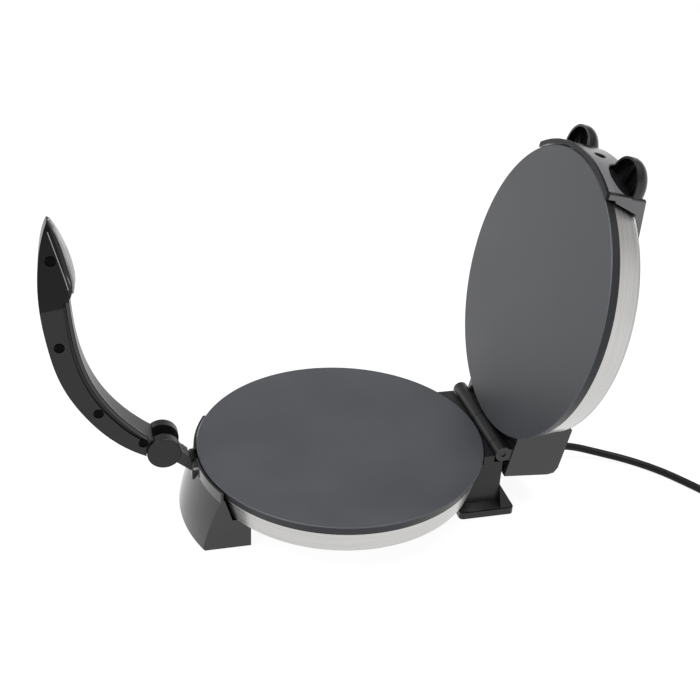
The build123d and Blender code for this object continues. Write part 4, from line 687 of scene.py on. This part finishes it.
def housing_finish(name):
    """Glossy black moulding, with painted light in grey on its round wall and the lip's sheen dulled as
    painted shade.
    """
    material = moulded_material(name, (0.008, 0.008, 0.009), (0.20, 0.30), 700, 0.02)
    tree = material.node_tree
    link = tree.links.new
    shut = from_middle(tree, on_lid(PLATE_Y, UPPER_FACE), -LID_OPEN)
    height = height_of(tree, shut)
    reach = worked_out(tree, "LENGTH", worked_out(tree, "MULTIPLY", shut, (1.0, 1.0, 0.0)))
    either_side = worked_out(tree, "ABSOLUTE", shut)
    lift = (LIFT_FROM_MIDDLE * sin(LIFT_TURN), LIFT_FROM_MIDDLE * cos(LIFT_TURN), LIFT_MOUTH)
    from_lift = worked_out(tree, "SUBTRACT", either_side, lift)
    to_bowl = worked_out(tree, "DIVIDE", from_lift, (LIFT_R, LIFT_R, LIFT_SCOOP))
    from_bowl = worked_out(tree, "LENGTH", worked_out(tree, "MINIMUM", to_bowl, (NO_LIMIT, NO_LIMIT, 0.0)))
    on_wall = remap(tree, reach, *WALL_EDGE, 1.0, 0.0).outputs["Result"]
    above_lip = remap(tree, height, *LIP_EDGE).outputs["Result"]
    out_of_hollow = remap(tree, from_bowl, *LIFT_EDGE).outputs["Result"]
    for other in (above_lip, out_of_hollow):
        both = tree.nodes.new("ShaderNodeMath")
        both.operation = "MULTIPLY"
        link(on_wall, both.inputs[0])
        link(other, both.inputs[1])
        on_wall = both.outputs["Value"]
    shader = tree.nodes["Principled BSDF"]
    lit_wall = tree.nodes.new("ShaderNodeMix")
    lit_wall.data_type = "RGBA"
    lit_wall.inputs[7].default_value = (*WALL_PAINTED_LIGHT, 1.0)
    link(on_wall, lit_wall.inputs["Factor"])
    link(shader.inputs["Base Color"].links[0].from_socket, lit_wall.inputs[6])
    link(lit_wall.outputs[2], shader.inputs["Base Color"])
    link(remap(tree, height, *LIP_EDGE, LIP_METAL, 0.0).outputs["Result"], shader.inputs["Metallic"])
    return material


red_lens = moulded_material("red_lens", (0.6, 0.02, 0.01), (0.08, 0.14), 300, 0.02)
green_lens = moulded_material("green_lens", (0.02, 0.4, 0.06), (0.08, 0.14), 300, 0.02)
put_on(housing_finish("front_housing_gloss"), "lid_front_housing")
put_on(gloss_black, "lid_rear_housing")
# painted shade: these screws are flat black as the shade in their recesses
put_on(recess_shade_black, "front_housing_screws")
put_on(zinc, "housing_screws")
put_on(glaze, "indicator_lamps")
put_on(red_lens, "power_lamp_lens")
put_on(green_lens, "ready_lamp_lens")

# ---------------------------------------------------------------- floor and light
# A plain white table that glows a little, so that it stays evenly pale under the press. The surround is
# white low down and greyer above, and two large softboxes hang in front and overhead.
FLOOR_GLOW = 0.92
# heights of the view, from the horizon at 0 to overhead at 1, and how bright the surround is there
grey_levels = ((0.02, 1.0), (0.30, 0.92), (0.43, 0.34), (0.70, 0.30), (0.86, 0.55), (1.0, 0.55))
bpy.ops.object.select_all(action="DESELECT")
bpy.ops.mesh.primitive_plane_add(size=8.0, location=(0, 0, 0))
floor = bpy.context.object
floor.name = "floor"
floor_paint = new_material("floor_paint", (0.14, 0.14, 0.14), 0.8, specular=0.0)
floor_shader = floor_paint.node_tree.nodes["Principled BSDF"]
floor_shader.inputs["Emission Color"].default_value = (1.0, 1.0, 1.0, 1.0)
floor_shader.inputs["Emission Strength"].default_value = FLOOR_GLOW
floor.data.materials.append(floor_paint)

world = bpy.data.worlds.new("studio")
bpy.context.scene.world = world
world.use_nodes = True
sky = world.node_tree
ways = sky.nodes.new("ShaderNodeTexCoord")
surround = shades(sky, height_of(sky, ways.outputs["Generated"]),
                  *[(position, (level, level, level)) for position, level in grey_levels])
seen = sky.nodes.new("ShaderNodeLightPath")
backdrop = sky.nodes.new("ShaderNodeMix")
backdrop.data_type = "RGBA"
backdrop.inputs[7].default_value = (1.0, 1.0, 1.0, 1.0)
sky.links.new(seen.outputs["Is Camera Ray"], backdrop.inputs["Factor"])
sky.links.new(surround, backdrop.inputs[6])
sky.links.new(backdrop.outputs[2], sky.nodes["Background"].inputs["Color"])
sky.nodes["Background"].inputs["Strength"].default_value = 1.0


def soft_light(name, place, target, size, power):
    """A square softbox at a place, aimed at a point."""
    data = bpy.data.lights.new(name, "AREA")
    data.shape = "SQUARE"
    data.size = size
    data.energy = power
    lamp = bpy.data.objects.new(name, data)
    bpy.context.scene.collection.objects.link(lamp)
    lamp.location = place
    lamp.rotation_euler = (Vector(target) - Vector(place)).to_track_quat("-Z", "Y").to_euler()


soft_light("key", (0.6, -1.4, 1.8), (0, 0, 0.1), 1.2, 22)
soft_light("top", (0.2, 0.6, 2.0), (0, 0, 0), 1.0, 30)
bpy.context.scene.view_settings.view_transform = "Standard"

bpy.context.view_layer.update()
